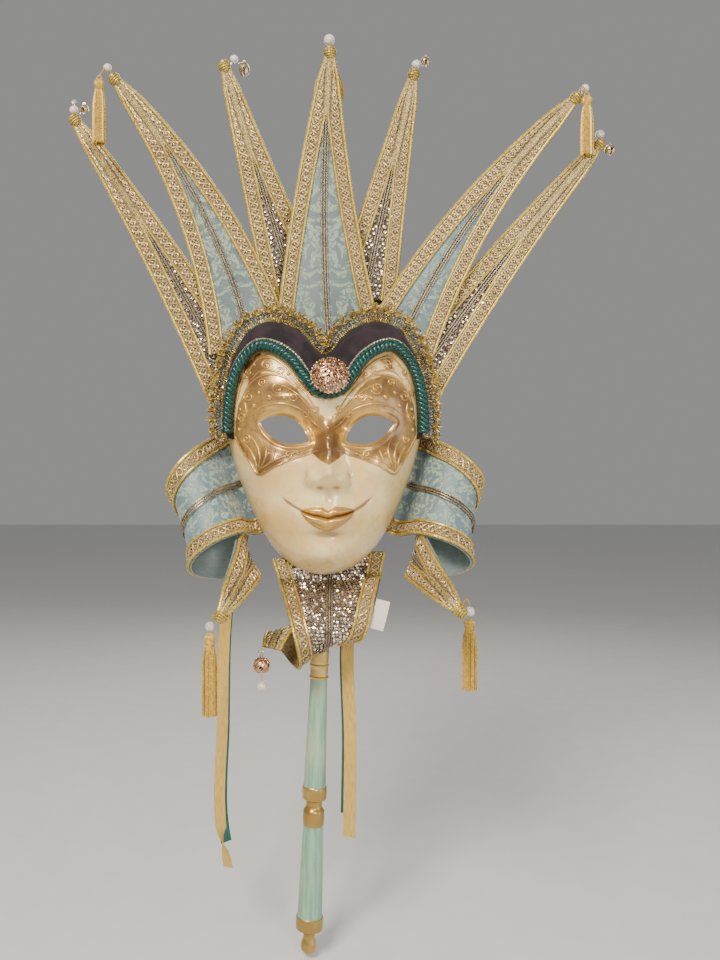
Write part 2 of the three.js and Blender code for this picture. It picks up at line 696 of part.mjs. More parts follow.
// Hollow ball with a slot across its foot, and the pellet that rattles in it.
function buildBells() {
  Object.entries(BELLS).forEach(([name, { centre, radius, tall }]) => {
    const outer = new THREE.SphereGeometry(radius, 8, 6).rotateX(Math.PI / 2);
    const inner = new THREE.SphereGeometry(radius - BELL_WALL, 8, 6).rotateX(Math.PI / 2);
    const reach = 2 * radius;
    const slot = boxBetween([-BELL_SLOT / 2, BELL_SLOT / 2], [-reach, reach], [-reach, 0]);
    const bell = cut(outer, [inner, slot]).scale(1, 1, tall);
    add(name, bell.translate(...centre), 'brass');
    const pellet = radius * PELLET;
    const floor = centre[2] - (radius - BELL_WALL) * tall + pellet + PELLET_LIFT;
    const grain = new THREE.IcosahedronGeometry(pellet, 0).translate(centre[0], centre[1], floor);
    add(name.replace('bell', 'pellet'), grain, 'brass');
  });
}

// ---------------------------------------------------------------- tie ribbons

function ribbonSolid({ route, width, turn }, setBack, aside) {
  const curve = new THREE.CatmullRomCurve3(route.map((p) => vec(...p)), false, 'centripetal');
  const steps = 18;
  const sections = [];
  for (let i = 0; i <= steps; i += 1) {
    const centre = curve.getPointAt(i / steps);
    const tangent = curve.getTangentAt(i / steps);
    const angle = turn * DEG * (i / steps);
    const across = vec(Math.cos(angle), Math.sin(angle), 0);
    across.addScaledVector(tangent, -across.dot(tangent)).normalize();
    const back = vec().crossVectors(across, tangent).normalize();
    if (back.y < 0) back.negate();
    const middle = centre.addScaledVector(back, setBack).addScaledVector(across, aside * (i / steps));
    const corner = (u, v) => middle.clone().addScaledVector(across, (u * width) / 2)
      .addScaledVector(back, (v * RIBBON_T) / 2);
    sections.push([corner(-1, -1), corner(1, -1), corner(1, 1), corner(-1, 1)]);
  }
  return loft(sections);
}

function buildRibbons() {
  Object.entries(RIBBONS).forEach(([side, ribbon]) => {
    add(`ribbon_gold_${side}`, ribbonSolid(ribbon, 0, 0), 'gold_satin');
    add(`ribbon_green_${side}`, ribbonSolid(ribbon, RIBBON_LAYER, ribbon.aside), 'green_satin');
  });
}

buildFace();
buildVelvet();
buildCord();
buildGimp();
buildBrooch();
buildSpikes();
buildCurls();
buildStick();
buildBoard();
buildHookLoop();
buildStickBlock();
buildLabel();
buildPearls();
buildPearlDrop();
buildTassels();
buildBells();
buildRibbons();

export default group;
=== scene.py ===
"""Venetian jester mask on a turned stick: every surface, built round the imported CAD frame.

Lengths are millimetres until a mesh is made, in the frame's own axes: +Z up, -Y out of the face.
"""
import math

import bpy
import numpy as np
from mathutils import Matrix, Vector

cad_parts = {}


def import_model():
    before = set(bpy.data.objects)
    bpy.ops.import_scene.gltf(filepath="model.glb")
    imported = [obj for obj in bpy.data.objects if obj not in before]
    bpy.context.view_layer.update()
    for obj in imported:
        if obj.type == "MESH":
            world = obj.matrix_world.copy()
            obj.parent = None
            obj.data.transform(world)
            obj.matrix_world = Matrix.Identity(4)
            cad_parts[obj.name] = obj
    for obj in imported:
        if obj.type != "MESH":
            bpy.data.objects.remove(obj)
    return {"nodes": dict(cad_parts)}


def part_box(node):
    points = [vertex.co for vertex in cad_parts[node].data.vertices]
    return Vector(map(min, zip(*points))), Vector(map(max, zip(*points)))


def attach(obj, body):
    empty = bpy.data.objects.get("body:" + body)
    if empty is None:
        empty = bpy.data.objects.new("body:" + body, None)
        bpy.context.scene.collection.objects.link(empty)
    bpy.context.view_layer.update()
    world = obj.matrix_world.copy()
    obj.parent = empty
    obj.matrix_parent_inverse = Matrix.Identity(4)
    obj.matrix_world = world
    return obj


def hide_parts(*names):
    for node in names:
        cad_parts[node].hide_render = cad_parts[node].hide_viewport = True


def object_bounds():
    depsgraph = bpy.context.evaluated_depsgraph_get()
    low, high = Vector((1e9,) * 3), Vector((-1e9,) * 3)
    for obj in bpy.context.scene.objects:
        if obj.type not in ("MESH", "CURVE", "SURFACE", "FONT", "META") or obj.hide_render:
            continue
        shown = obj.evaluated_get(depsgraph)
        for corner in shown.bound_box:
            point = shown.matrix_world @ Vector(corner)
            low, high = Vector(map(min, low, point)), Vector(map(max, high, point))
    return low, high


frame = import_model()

CAD_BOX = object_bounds()
MM = 0.001
TAU = 2 * math.pi
RNG = np.random.default_rng(7)
UP = np.array([0.0, 0.0, 1.0])
BACK = np.array([0.0, 1.0, 0.0])

# ------------------------------------------------------------------ camera, light and floor

CAMERA_AT = (-38, -735, -124)          # where the photographer stood, level with the nose
CAMERA_LENS = 32.25
CAMERA_SHIFT = 0.0854                  # the mask hangs to the right of the lens's axis
FLOOR_DROP = 4                         # the floor lies this far under the stick's foot


def add_camera():
    data = bpy.data.cameras.new("camera")
    data.lens = CAMERA_LENS
    data.sensor_width = 36
    data.shift_x = CAMERA_SHIFT
    data.clip_start = 0.01
    camera = bpy.data.objects.new("camera", data)
    camera.location = Vector(CAMERA_AT) * MM
    camera.rotation_euler = (math.radians(90), 0, 0)
    bpy.context.collection.objects.link(camera)
    bpy.context.scene.camera = camera


def add_light(name, at, aim, size, power, color):
    data = bpy.data.lights.new(name, "AREA")
    data.size = size
    data.energy = power
    data.color = color
    light = bpy.data.objects.new(name, data)
    light.location = at
    light.rotation_euler = (Vector(aim) - Vector(at)).to_track_quat("-Z", "Y").to_euler()
    bpy.context.collection.objects.link(light)


def add_studio():
    add_light("key", (-0.55, -1.2, 0.85), (0, 0, -0.05), 0.5, 38, (1.0, 0.92, 0.79))
    add_light("window", (0.35, -1.3, 0.15), (0, 0, -0.12), 0.3, 7, (1.0, 0.95, 0.86))
    add_light("fill", (1.2, -0.7, -0.2), (0, 0, -0.1), 0.9, 6, (0.80, 0.89, 1.0))
    add_light("rim", (0.2, 1.1, 0.8), (0, 0, 0), 0.8, 10, (1.0, 0.97, 0.92))
    world = bpy.data.worlds.new("studio")
    world.use_nodes = True
    back = world.node_tree.nodes["Background"]
    back.inputs["Color"].default_value = (0.80, 0.80, 0.79, 1)
    back.inputs["Strength"].default_value = 0.36
    bpy.context.scene.world = world
    low = CAD_BOX[0][2] - FLOOR_DROP * MM
    bpy.ops.mesh.primitive_plane_add(size=14, location=(0, 0, low))
    floor = bpy.context.object
    floor.name = "floor"
    floor.data.materials.append(plain_material("floor_paint", (0.72, 0.72, 0.71), 0.8))


# ------------------------------------------------------------------ curves and meshes

def unit(v):
    return v / np.maximum(np.linalg.norm(v, axis=-1, keepdims=True), 1e-12)


def run_of(line):
    """How far along a line each of its points is."""
    return np.concatenate([[0], np.cumsum(np.linalg.norm(np.diff(line, axis=0), axis=1))])


def resample(points, count, closed=False):
    """count points evenly spaced along a fine line."""
    line = np.vstack([points, points[:1]]) if closed else points
    run = run_of(line)
    at = np.linspace(0, run[-1], count, endpoint=not closed)
    return np.stack([np.interp(at, run, line[:, k]) for k in range(line.shape[1])], axis=1)


def spline(points, closed=False, samples=24):
    """Centripetal Catmull-Rom curve through points, samples to each stretch."""
    p = np.asarray(points, float)
    if closed:
        p = np.vstack([p[-1:], p, p[:2]])
    else:
        p = np.vstack([2 * p[:1] - p[1:2], p, 2 * p[-1:] - p[-2:-1]])
    line = []
    for a, b, c, d in zip(p, p[1:], p[2:], p[3:]):
        t1 = np.linalg.norm(b - a) ** 0.5
        t2 = t1 + np.linalg.norm(c - b) ** 0.5
        t3 = t2 + np.linalg.norm(d - c) ** 0.5
        t = np.linspace(t1, t2, samples, endpoint=False)[:, None]
        a1 = a + (b - a) * t / t1
        a2 = b + (c - b) * (t - t1) / (t2 - t1)
        a3 = c + (d - c) * (t - t2) / (t3 - t2)
        b1 = a1 + (a2 - a1) * t / t2
        b2 = a2 + (a3 - a2) * (t - t1) / (t3 - t1)
        line.append(b1 + (b2 - b1) * (t - t1) / (t2 - t1))
    if not closed:
        line.append(p[-2:-1])
    return np.vstack(line)


def grid_faces(rows, cols, close_rows=False, close_cols=False):
    """Quads of a grid of rows by cols points."""
    i, j = np.meshgrid(np.arange(rows if close_rows else rows - 1),
                       np.arange(cols if close_cols else cols - 1), indexing="ij")
    a = i * cols + j
    b = i * cols + (j + 1) % cols
    down = ((i + 1) % rows) * cols
    return np.stack([a, b, down + (j + 1) % cols, down + j], axis=-1).reshape(-1, 4)


def capped(rows, cols):
    """Faces of a closed body: a sleeve of rows by cols points, and a face over each end."""
    last = (rows - 1) * cols
    ends = np.array([np.arange(cols)[::-1], last + np.arange(cols)])
    return [grid_faces(rows, cols, False, True), ends]


class Soup:
    """Closed bodies gathered into one mesh."""

    def __init__(self):
        self.verts, self.uvs, self.groups, self.count = [], [], [], 0

    def add(self, verts, face_groups, material=0, uv=None):
        """Adds a body. material is one slot, or one for each group of faces."""
        verts = np.asarray(verts, float).reshape(-1, 3)
        centre = verts.mean(axis=0)
        volume = 0.0
        for faces in face_groups:
            corners = verts[faces] - centre
            for k in range(1, faces.shape[1] - 1):
                volume += np.einsum("ij,ij->", corners[:, 0], np.cross(corners[:, k], corners[:, k + 1]))
        for faces, slot in zip(face_groups, np.broadcast_to(material, len(face_groups))):
            turned = faces if volume >= 0 else faces[:, ::-1]
            self.groups.append((turned + self.count, slot))
        self.verts.append(verts)
        self.uvs.append(np.zeros((len(verts), 2)) if uv is None else np.asarray(uv).reshape(-1, 2))
        self.count += len(verts)
        return self

    def mesh(self, name, materials):
        mesh = bpy.data.meshes.new(name)
        verts = np.vstack(self.verts) * MM
        mesh.vertices.add(len(verts))
        mesh.vertices.foreach_set("co", verts.ravel())
        loops = np.concatenate([faces.ravel() for faces, _ in self.groups])
        sizes = np.concatenate([np.full(len(faces), faces.shape[1]) for faces, _ in self.groups])
        slots = np.concatenate([np.full(len(faces), slot) for faces, slot in self.groups])
        mesh.loops.add(len(loops))
        mesh.loops.foreach_set("vertex_index", loops.astype(np.int32))
        mesh.polygons.add(len(sizes))
        starts = np.concatenate([[0], np.cumsum(sizes)[:-1]])
        mesh.polygons.foreach_set("loop_start", starts.astype(np.int32))
        mesh.polygons.foreach_set("material_index", slots.astype(np.int32))
        mesh.update(calc_edges=True)
        uv_layer = mesh.uv_layers.new(name="cloth")
        uv_layer.data.foreach_set("uv", np.vstack(self.uvs)[loops].astype(np.float32).ravel())
        for material in materials:
            mesh.materials.append(material)
        mesh.polygons.foreach_set("use_smooth", np.ones(len(sizes), bool))
        mesh.validate()
        mesh.set_sharp_from_angle(angle=math.radians(50))
        return mesh

    def piece(self, name, materials, body="mask", stands_for=(), slot=None):
        """One object of the soup, riding on a CAD body in place of the CAD nodes named."""
        obj = bpy.data.objects.new(name, self.mesh(name, materials))
        bpy.context.collection.objects.link(obj)
        return placed(obj, body, stands_for, slot)


def placed(obj, body="mask", stands_for=(), slot=None):
    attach(obj, body)
    if stands_for:
        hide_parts(*stands_for)
    return obj


def tube(path, radius, sides, up, closed=False):
    """Tube round a path. up is any direction that the path never follows."""
    path = np.asarray(path, float)
    if closed:
        tangent = unit(np.roll(path, -1, axis=0) - np.roll(path, 1, axis=0))
    else:
        tangent = unit(np.gradient(path, axis=0))
    side = unit(np.cross(tangent, up))
    over = np.cross(side, tangent)
    angle = np.arange(sides) / sides * TAU
    r = np.broadcast_to(radius, (len(path),))[:, None, None]
    ring = r * (np.cos(angle)[None, :, None] * side[:, None] + np.sin(angle)[None, :, None] * over[:, None])
    faces = [grid_faces(len(path), sides, True, True)] if closed else capped(len(path), sides)
    return (path[:, None] + ring).reshape(-1, 3), faces


def lathe(profile, steps, segments, top=(0, 0, 0), flat=(1, 1, 1)):
    """Turned body of (z, r) pairs that are smoothed steps to a stretch, or kept sharp at 1."""
    line = np.asarray(profile, float)
    if steps > 1:
        line = spline(line, samples=steps)
    line = line[line[:, 1] > 1e-3]
    angle = np.arange(segments) / segments * TAU
    ring = np.stack([line[:, 1:2] * np.cos(angle), line[:, 1:2] * np.sin(angle),
                     np.repeat(line[:, :1], segments, axis=1)], axis=-1).reshape(-1, 3)
    return ring * flat + np.asarray(top, float), capped(len(line), segments)


def ball_profile(radius, squash=1.0, count=14):
    turn = np.linspace(0.06, math.pi - 0.06, count)
    return np.stack([radius * squash * np.cos(turn), radius * np.sin(turn)], axis=1)


def along(a, b, count, sag=0.0):
    """Points from a to b that sag by a few millimetres."""
    t = np.linspace(0, 1, count)[:, None]
    return np.asarray(a) * (1 - t) + np.asarray(b) * t - UP * sag * 4 * t * (1 - t)


def helix(path, up, radius, lead, phase, step):
    """A line wound round a path, and the directions from the path out to it."""
    run = run_of(path)
    at = np.linspace(0, run[-1], max(8, int(run[-1] / step)))
    centre = np.stack([np.interp(at, run, path[:, k]) for k in range(3)], axis=1)
    ups = np.broadcast_to(up, path.shape)
    over = unit(np.stack([np.interp(at, run, ups[:, k]) for k in range(3)], axis=1))
    tangent = unit(np.gradient(centre, axis=0))
    side = unit(np.cross(tangent, over))
    over = np.cross(side, tangent)
    angle = (at / lead * TAU + phase)[:, None]
    out = np.cos(angle) * side + np.sin(angle) * over
    return centre + radius * out, out


# ------------------------------------------------------------------ materials

def new_material(name):
    material = bpy.data.materials.new(name)
    material.use_nodes = True
    tree = material.node_tree
    return material, tree, tree.nodes["Principled BSDF"]


def node(tree, kind, **values):
    """A node with its sockets set by name, linked where the value is a socket."""
    made = tree.nodes.new(kind)
    for key, value in values.items():
        if key.startswith("_"):
            setattr(made, key[1:], value)
            continue
        socket = made.inputs[int(key[1:]) if key[0] == "i" and key[1:].isdigit() else key.replace("_", " ")]
        if isinstance(value, bpy.types.NodeSocket):
            tree.links.new(value, socket)
        else:
            socket.default_value = value
    return made


def maths(tree, operation, a, b=0.0, c=0.0):
    return node(tree, "ShaderNodeMath", _operation=operation, i0=a, i1=b, i2=c).outputs[0]


def mix(tree, share, a, b):
    """Colour between a and b."""
    made = node(tree, "ShaderNodeMix", _data_type="RGBA")
    for index, value in ((0, share), (6, a), (7, b)):
        if isinstance(value, bpy.types.NodeSocket):
            tree.links.new(value, made.inputs[index])
        else:
            made.inputs[index].default_value = (*value, 1) if index else value
    return made.outputs[2]


def ramp(tree, value, low, high):
    return node(tree, "ShaderNodeMapRange", _interpolation_type="SMOOTHSTEP", Value=value,
                From_Min=low, From_Max=high).outputs["Result"]


def object_place(tree):
    return node(tree, "ShaderNodeTexCoord").outputs["Object"]


def cloth_uv(tree):
    return node(tree, "ShaderNodeUVMap", _uv_map="cloth").outputs["UV"]


def attribute(tree, name):
    return node(tree, "ShaderNodeAttribute", _attribute_name=name).outputs["Fac"]


def noise(tree, scale, detail=3.0, distortion=0.0, vector=None):
    where = vector or object_place(tree)
    return node(tree, "ShaderNodeTexNoise", Vector=where, Scale=scale, Detail=detail,
                Distortion=distortion).outputs["Fac"]


def bump(tree, shader, height, strength, distance, under=None):
    made = node(tree, "ShaderNodeBump", Height=height, Strength=strength, Distance=distance)
    if under is not None:
        tree.links.new(under, made.inputs["Normal"])
    tree.links.new(made.outputs["Normal"], shader.inputs["Normal"])
    return made.outputs["Normal"]


def plain_material(name, color, roughness):
    material, tree, shader = new_material(name)
    shade = mix(tree, ramp(tree, noise(tree, 30), 0.3, 0.7), color, [c * 0.97 for c in color])
    tree.links.new(shade, shader.inputs["Base Color"])
    shader.inputs["Roughness"].default_value = roughness
    return material


def thread_material(name, light, dark, metallic, roughness, scale=900, sheen=0.0, depth=0.00025):
    """Twisted or wound thread: fine ridges, with painted shade in the grooves between them."""
    material, tree, shader = new_material(name)
    where = object_place(tree)
    fine = noise(tree, scale, 2.0, 0.4, where)
    broad = noise(tree, 60, 3.0, 0.0, where)
    # Painted shade: darker where the fine ridges' bump is low.
    shade = mix(tree, ramp(tree, fine, 0.32, 0.62), dark, light)
    worn = mix(tree, ramp(tree, broad, 0.35, 0.75), shade, mix(tree, 0.35, shade, dark))
    tree.links.new(worn, shader.inputs["Base Color"])
    tree.links.new(maths(tree, "MULTIPLY_ADD", fine, 0.25, roughness - 0.12), shader.inputs["Roughness"])
    shader.inputs["Metallic"].default_value = metallic
    shader.inputs["Sheen Weight"].default_value = sheen
    bump(tree, shader, fine, 0.6, depth)
    return material


def metal_material(name, light, dark, roughness=0.28):
    """Plated metal, its tone varying at random."""
    material, tree, shader = new_material(name)
    spots = noise(tree, 260, 4.0)
    tree.links.new(mix(tree, ramp(tree, spots, 0.38, 0.66), dark, light), shader.inputs["Base Color"])
    tree.links.new(maths(tree, "MULTIPLY_ADD", spots, 0.3, roughness - 0.14), shader.inputs["Roughness"])
    shader.inputs["Metallic"].default_value = 0.95
    bump(tree, shader, noise(tree, 1500, 2.0), 0.25, 0.00008)
    return material


def pearl_material():
    material, tree, shader = new_material("pearl")
    blush = mix(tree, ramp(tree, noise(tree, 220), 0.4, 0.7), (0.68, 0.62, 0.55), (0.58, 0.52, 0.50))
    tree.links.new(blush, shader.inputs["Base Color"])
    shader.inputs["Roughness"].default_value = 0.2
    shader.inputs["Coat Weight"].default_value = 0.7
    shader.inputs["Coat Roughness"].default_value = 0.08
    bump(tree, shader, noise(tree, 900, 1.0), 0.15, 0.00006)
    return material


def crystal_material():
    material, tree, shader = new_material("crystal")
    haze = mix(tree, noise(tree, 400), (0.92, 0.92, 0.90), (0.78, 0.80, 0.82))
    tree.links.new(haze, shader.inputs["Base Color"])
    shader.inputs["Roughness"].default_value = 0.06
    shader.inputs["Transmission Weight"].default_value = 0.75
    shader.inputs["IOR"].default_value = 1.5
    return material


def weave(tree, uv, across, lengthwise):
    """Height of a plain weave, in threads to a millimetre each way."""
    parts = node(tree, "ShaderNodeSeparateXYZ", Vector=uv)
    warp = maths(tree, "SINE", maths(tree, "MULTIPLY", parts.outputs["X"], across * TAU * 100))
    weft = maths(tree, "SINE", maths(tree, "MULTIPLY", parts.outputs["Y"], lengthwise * TAU * 100))
    return maths(tree, "MULTIPLY", warp, weft)


def brocade_material(name, ground, motif, seed):
    """Damask: a satin ground with matt scrolls mirrored about the strip's middle."""
    material, tree, shader = new_material(name)
    uv = cloth_uv(tree)
    parts = node(tree, "ShaderNodeSeparateXYZ", Vector=uv)
    folded = maths(tree, "PINGPONG", maths(tree, "ADD", parts.outputs["X"], 0.005), 0.2)
    where = node(tree, "ShaderNodeCombineXYZ", X=folded, Y=parts.outputs["Y"], Z=seed).outputs["Vector"]
    leaves = noise(tree, 5.2, 2.0, 3.2, where)
    veins = noise(tree, 14.0, 1.5, 3.0, where)
    shape = ramp(tree, leaves, 0.475, 0.505)
    cut = ramp(tree, veins, 0.44, 0.47)
    figure = maths(tree, "MULTIPLY", shape, maths(tree, "MAXIMUM", cut, 0.15))
    tone = noise(tree, 22, 3.0)
    base = mix(tree, ramp(tree, tone, 0.3, 0.7), ground, [c * 0.72 for c in ground])
    tree.links.new(mix(tree, figure, base, motif), shader.inputs["Base Color"])
    tree.links.new(maths(tree, "MULTIPLY_ADD", figure, 0.28, 0.36), shader.inputs["Roughness"])
    shader.inputs["Sheen Weight"].default_value = 0.35
    shader.inputs["Sheen Roughness"].default_value = 0.4
    raised = bump(tree, shader, figure, 0.5, 0.00035)
    bump(tree, shader, weave(tree, uv, 1.4, 1.4), 0.25, 0.00012, raised)
    return material


def net_material():
    """Bronze net under the sequins."""
    material, tree, shader = new_material("sequin_net")
    uv = cloth_uv(tree)
    holes = weave(tree, uv, 0.55, 0.55)
    shade = mix(tree, ramp(tree, holes, -0.4, 0.5), (0.045, 0.032, 0.026), (0.20, 0.145, 0.10))
    glitter = ramp(tree, noise(tree, 1400, 1.0), 0.60, 0.68)
    tree.links.new(mix(tree, glitter, shade, (0.62, 0.52, 0.42)), shader.inputs["Base Color"])
    shader.inputs["Metallic"].default_value = 0.45
    shader.inputs["Roughness"].default_value = 0.42
    bump(tree, shader, holes, 0.7, 0.0003)
    return material


def sequin_material():
    material, tree, shader = new_material("sequin")
    tint = node(tree, "ShaderNodeObjectInfo").outputs["Random"]
    where = object_place(tree)
    patches = maths(tree, "ADD", noise(tree, 300, 0.0, 0.0, where), maths(tree, "MULTIPLY", tint, 0.02))
    warm = mix(tree, ramp(tree, patches, 0.35, 0.65), (0.42, 0.31, 0.22), (0.86, 0.77, 0.64))
    tree.links.new(warm, shader.inputs["Base Color"])
    shader.inputs["Metallic"].default_value = 0.9
    shader.inputs["Roughness"].default_value = 0.2
    bump(tree, shader, noise(tree, 800, 1.0), 0.2, 0.0001)
    return material


def velvet_material():
    material, tree, shader = new_material("velvet")
    pile = noise(tree, 1800, 3.0)
    crushed = noise(tree, 45, 3.0, 1.0)
    nap = mix(tree, ramp(tree, crushed, 0.42, 0.66), (0.006, 0.0035, 0.0055), (0.023, 0.012, 0.019))
    tree.links.new(nap, shader.inputs["Base Color"])
    shader.inputs["Roughness"].default_value = 0.9
    shader.inputs["Sheen Weight"].default_value = 0.14
    shader.inputs["Sheen Roughness"].default_value = 0.35
    shader.inputs["Sheen Tint"].default_value = (0.40, 0.28, 0.38, 1)
    bump(tree, shader, pile, 0.5, 0.0003)
    return material


def satin_material(name, light, dark):
    """Ribbon: long soft streaks of painted sheen along it and a fine rib across."""
    material, tree, shader = new_material(name)
    uv = cloth_uv(tree)
    stretched = node(tree, "ShaderNodeMapping", Vector=uv, Scale=(60, 1.5, 1)).outputs["Vector"]
    # Painted sheen: light and dark streaks along the ribbon.
    sheen_streaks = noise(tree, 8, 3.0, 0.0, stretched)
    tree.links.new(mix(tree, ramp(tree, sheen_streaks, 0.35, 0.65), dark, light), shader.inputs["Base Color"])
    shader.inputs["Roughness"].default_value = 0.36
    shader.inputs["Anisotropic"].default_value = 0.5
    bump(tree, shader, weave(tree, uv, 2.0, 1.2), 0.2, 0.0001)
    return material


def face_material():
    """Glossy cream papier-mache with a brown glaze and painted shade in its recesses, along its rim and by
    the nose, and worn gold paint where gilt says so, with a painted highlight on the lids and lips.
    """
    material, tree, shader = new_material("papier_mache")
    gilt = attribute(tree, "gilt")
    hollow = attribute(tree, "hollow")
    cloud = noise(tree, 26, 5.0, 0.6)
    fine = noise(tree, 210, 5.0)
    cream = mix(tree, ramp(tree, cloud, 0.36, 0.66), (0.78, 0.52, 0.19), (0.87, 0.67, 0.33))
    aged = mix(tree, maths(tree, "MULTIPLY", ramp(tree, fine, 0.48, 0.78), 0.38), cream, (0.62, 0.36, 0.12))
    # Brown glaze and painted shade: darker in the recesses and creases, where the glaze settles and shade
    # falls; painted shade along the rim and by the nose.
    glaze_and_shade = mix(tree, maths(tree, "MULTIPLY", hollow, 0.85), aged, (0.22, 0.11, 0.035))
    bright = attribute(tree, "bright")
    worn = maths(tree, "MULTIPLY_ADD", fine, 0.6, maths(tree, "MULTIPLY_ADD", cloud, 1.5, -1.05))
    paint = ramp(tree, maths(tree, "SUBTRACT", gilt, worn), 0.40, 0.62)
    gold = mix(tree, ramp(tree, cloud, 0.40, 0.58), (0.25, 0.13, 0.05), (0.60, 0.355, 0.105))
    worn_gold_and_highlight = mix(tree, maths(tree, "MULTIPLY", ramp(tree, fine, 0.45, 0.7), 0.5), gold, (0.22, 0.12, 0.04))
    # Painted highlight: brighter gold on the lids round the eye holes and on the lips.
    worn_gold_and_highlight = mix(tree, maths(tree, "MULTIPLY", bright, 0.8), worn_gold_and_highlight, (0.90, 0.53, 0.10))
    # The gold is darkened in the same places, with glaze and painted shade.
    deep = mix(tree, maths(tree, "MULTIPLY", hollow, 0.6), worn_gold_and_highlight, (0.10, 0.05, 0.02))
    tree.links.new(mix(tree, paint, glaze_and_shade, deep), shader.inputs["Base Color"])
    tree.links.new(maths(tree, "MULTIPLY", paint, 0.6), shader.inputs["Metallic"])
    tree.links.new(maths(tree, "MULTIPLY_ADD", fine, 0.22, 0.20), shader.inputs["Roughness"])
    shader.inputs["Coat Weight"].default_value = 0.6
    shader.inputs["Coat Roughness"].default_value = 0.09
    brush = bump(tree, shader, noise(tree, 90, 6.0, 0.8), 0.22, 0.0005)
    bump(tree, shader, noise(tree, 700, 3.0), 0.12, 0.0002, brush)
    return material


def stick_material():
    """Sage green paint over turned wood, rubbed along its grain, with gold rings."""
    material, tree, shader = new_material("stick_paint")
    gilt = attribute(tree, "gilt")
    where = object_place(tree)
    stretched = node(tree, "ShaderNodeMapping", Vector=where, Scale=(6, 6, 0.5)).outputs["Vector"]
    grain = noise(tree, 60, 5.0, 0.3, stretched)
    cloud = noise(tree, 24, 4.0, 0.3, where)
    green = mix(tree, ramp(tree, grain, 0.36, 0.66), (0.17, 0.33, 0.225), (0.27, 0.46, 0.32))
    aged = mix(tree, maths(tree, "MULTIPLY", ramp(tree, cloud, 0.48, 0.70), 0.45), green, (0.50, 0.47, 0.30))
    gold = mix(tree, ramp(tree, cloud, 0.35, 0.65), (0.40, 0.25, 0.06), (0.68, 0.47, 0.15))
    paint = ramp(tree, gilt, 0.42, 0.58)
    tree.links.new(mix(tree, paint, aged, gold), shader.inputs["Base Color"])
    tree.links.new(maths(tree, "MULTIPLY", paint, 0.75), shader.inputs["Metallic"])
    tree.links.new(maths(tree, "MULTIPLY_ADD", grain, 0.25, 0.22), shader.inputs["Roughness"])
    shader.inputs["Coat Weight"].default_value = 0.3
    bump(tree, shader, grain, 0.25, 0.0003)
    return material


def board_material(name, light, dark, scale):
    material, tree, shader = new_material(name)
    fibres = noise(tree, scale, 6.0, 1.2)
    tree.links.new(mix(tree, ramp(tree, fibres, 0.35, 0.68), dark, light), shader.inputs["Base Color"])
    shader.inputs["Roughness"].default_value = 0.88
    bump(tree, shader, fibres, 0.5, 0.0004)
    return material


M = {
    "face": face_material(),
    "stick": stick_material(),
    "velvet": velvet_material(),
    "net": net_material(),
    "sequin": sequin_material(),
    "pearl": pearl_material(),
    "crystal": crystal_material(),
    "gold": thread_material("gold_thread", (0.74, 0.54, 0.13), (0.27, 0.18, 0.035), 0.45, 0.34),
    "rose": thread_material("champagne_thread", (0.66, 0.50, 0.25), (0.27, 0.185, 0.085), 0.45, 0.34),
    "tape": thread_material("braid_ground", (0.34, 0.245, 0.09), (0.13, 0.085, 0.03), 0.3, 0.5),
    "bronze": thread_material("bronze_thread", (0.42, 0.345, 0.24), (0.11, 0.08, 0.05), 0.6, 0.35),
    "green": thread_material("green_satin", (0.003, 0.072, 0.060), (0.001, 0.016, 0.013), 0.0, 0.28, 600),
    "silver": thread_material("silver_thread", (0.72, 0.66, 0.54), (0.27, 0.23, 0.17), 0.7, 0.32),
    "rayon": thread_material("gold_rayon", (0.72, 0.47, 0.08), (0.38, 0.22, 0.03), 0.1, 0.34, 700, 0.1),
    "brass": metal_material("rosy_brass", (0.92, 0.60, 0.38), (0.50, 0.26, 0.14)),
    "bell": metal_material("bell_brass", (0.92, 0.76, 0.50), (0.60, 0.44, 0.25), 0.26),
    "knot": metal_material("knot_thread", (0.90, 0.74, 0.50), (0.50, 0.35, 0.19), 0.3),
    "stone": metal_material("rose_stone", (0.95, 0.62, 0.45), (0.60, 0.30, 0.22), 0.14),
    "blue": brocade_material("brocade", (0.135, 0.185, 0.190), (0.28, 0.36, 0.27), 1.3),
    "sky": brocade_material("brocade_blue", (0.15, 0.225, 0.255), (0.30, 0.38, 0.30), 2.1),
    "lining": satin_material("lining", (0.27, 0.33, 0.32), (0.16, 0.205, 0.20)),
    "backing": board_material("backing_cloth", (0.16, 0.13, 0.11), (0.07, 0.055, 0.045), 500),
    "gold_satin": satin_material("gold_satin", (0.70, 0.47, 0.11), (0.42, 0.26, 0.05)),
    "green_satin": satin_material("green_ribbon", (0.012, 0.115, 0.085), (0.005, 0.055, 0.04)),
    "card": board_material("card", (0.13, 0.095, 0.075), (0.06, 0.045, 0.035), 240),
    "wood": board_material("raw_wood", (0.50, 0.33, 0.18), (0.33, 0.20, 0.10), 90),
    "label": board_material("label_cloth", (0.83, 0.78, 0.70), (0.70, 0.63, 0.54), 900),
}

# ------------------------------------------------------------------ the face's formula

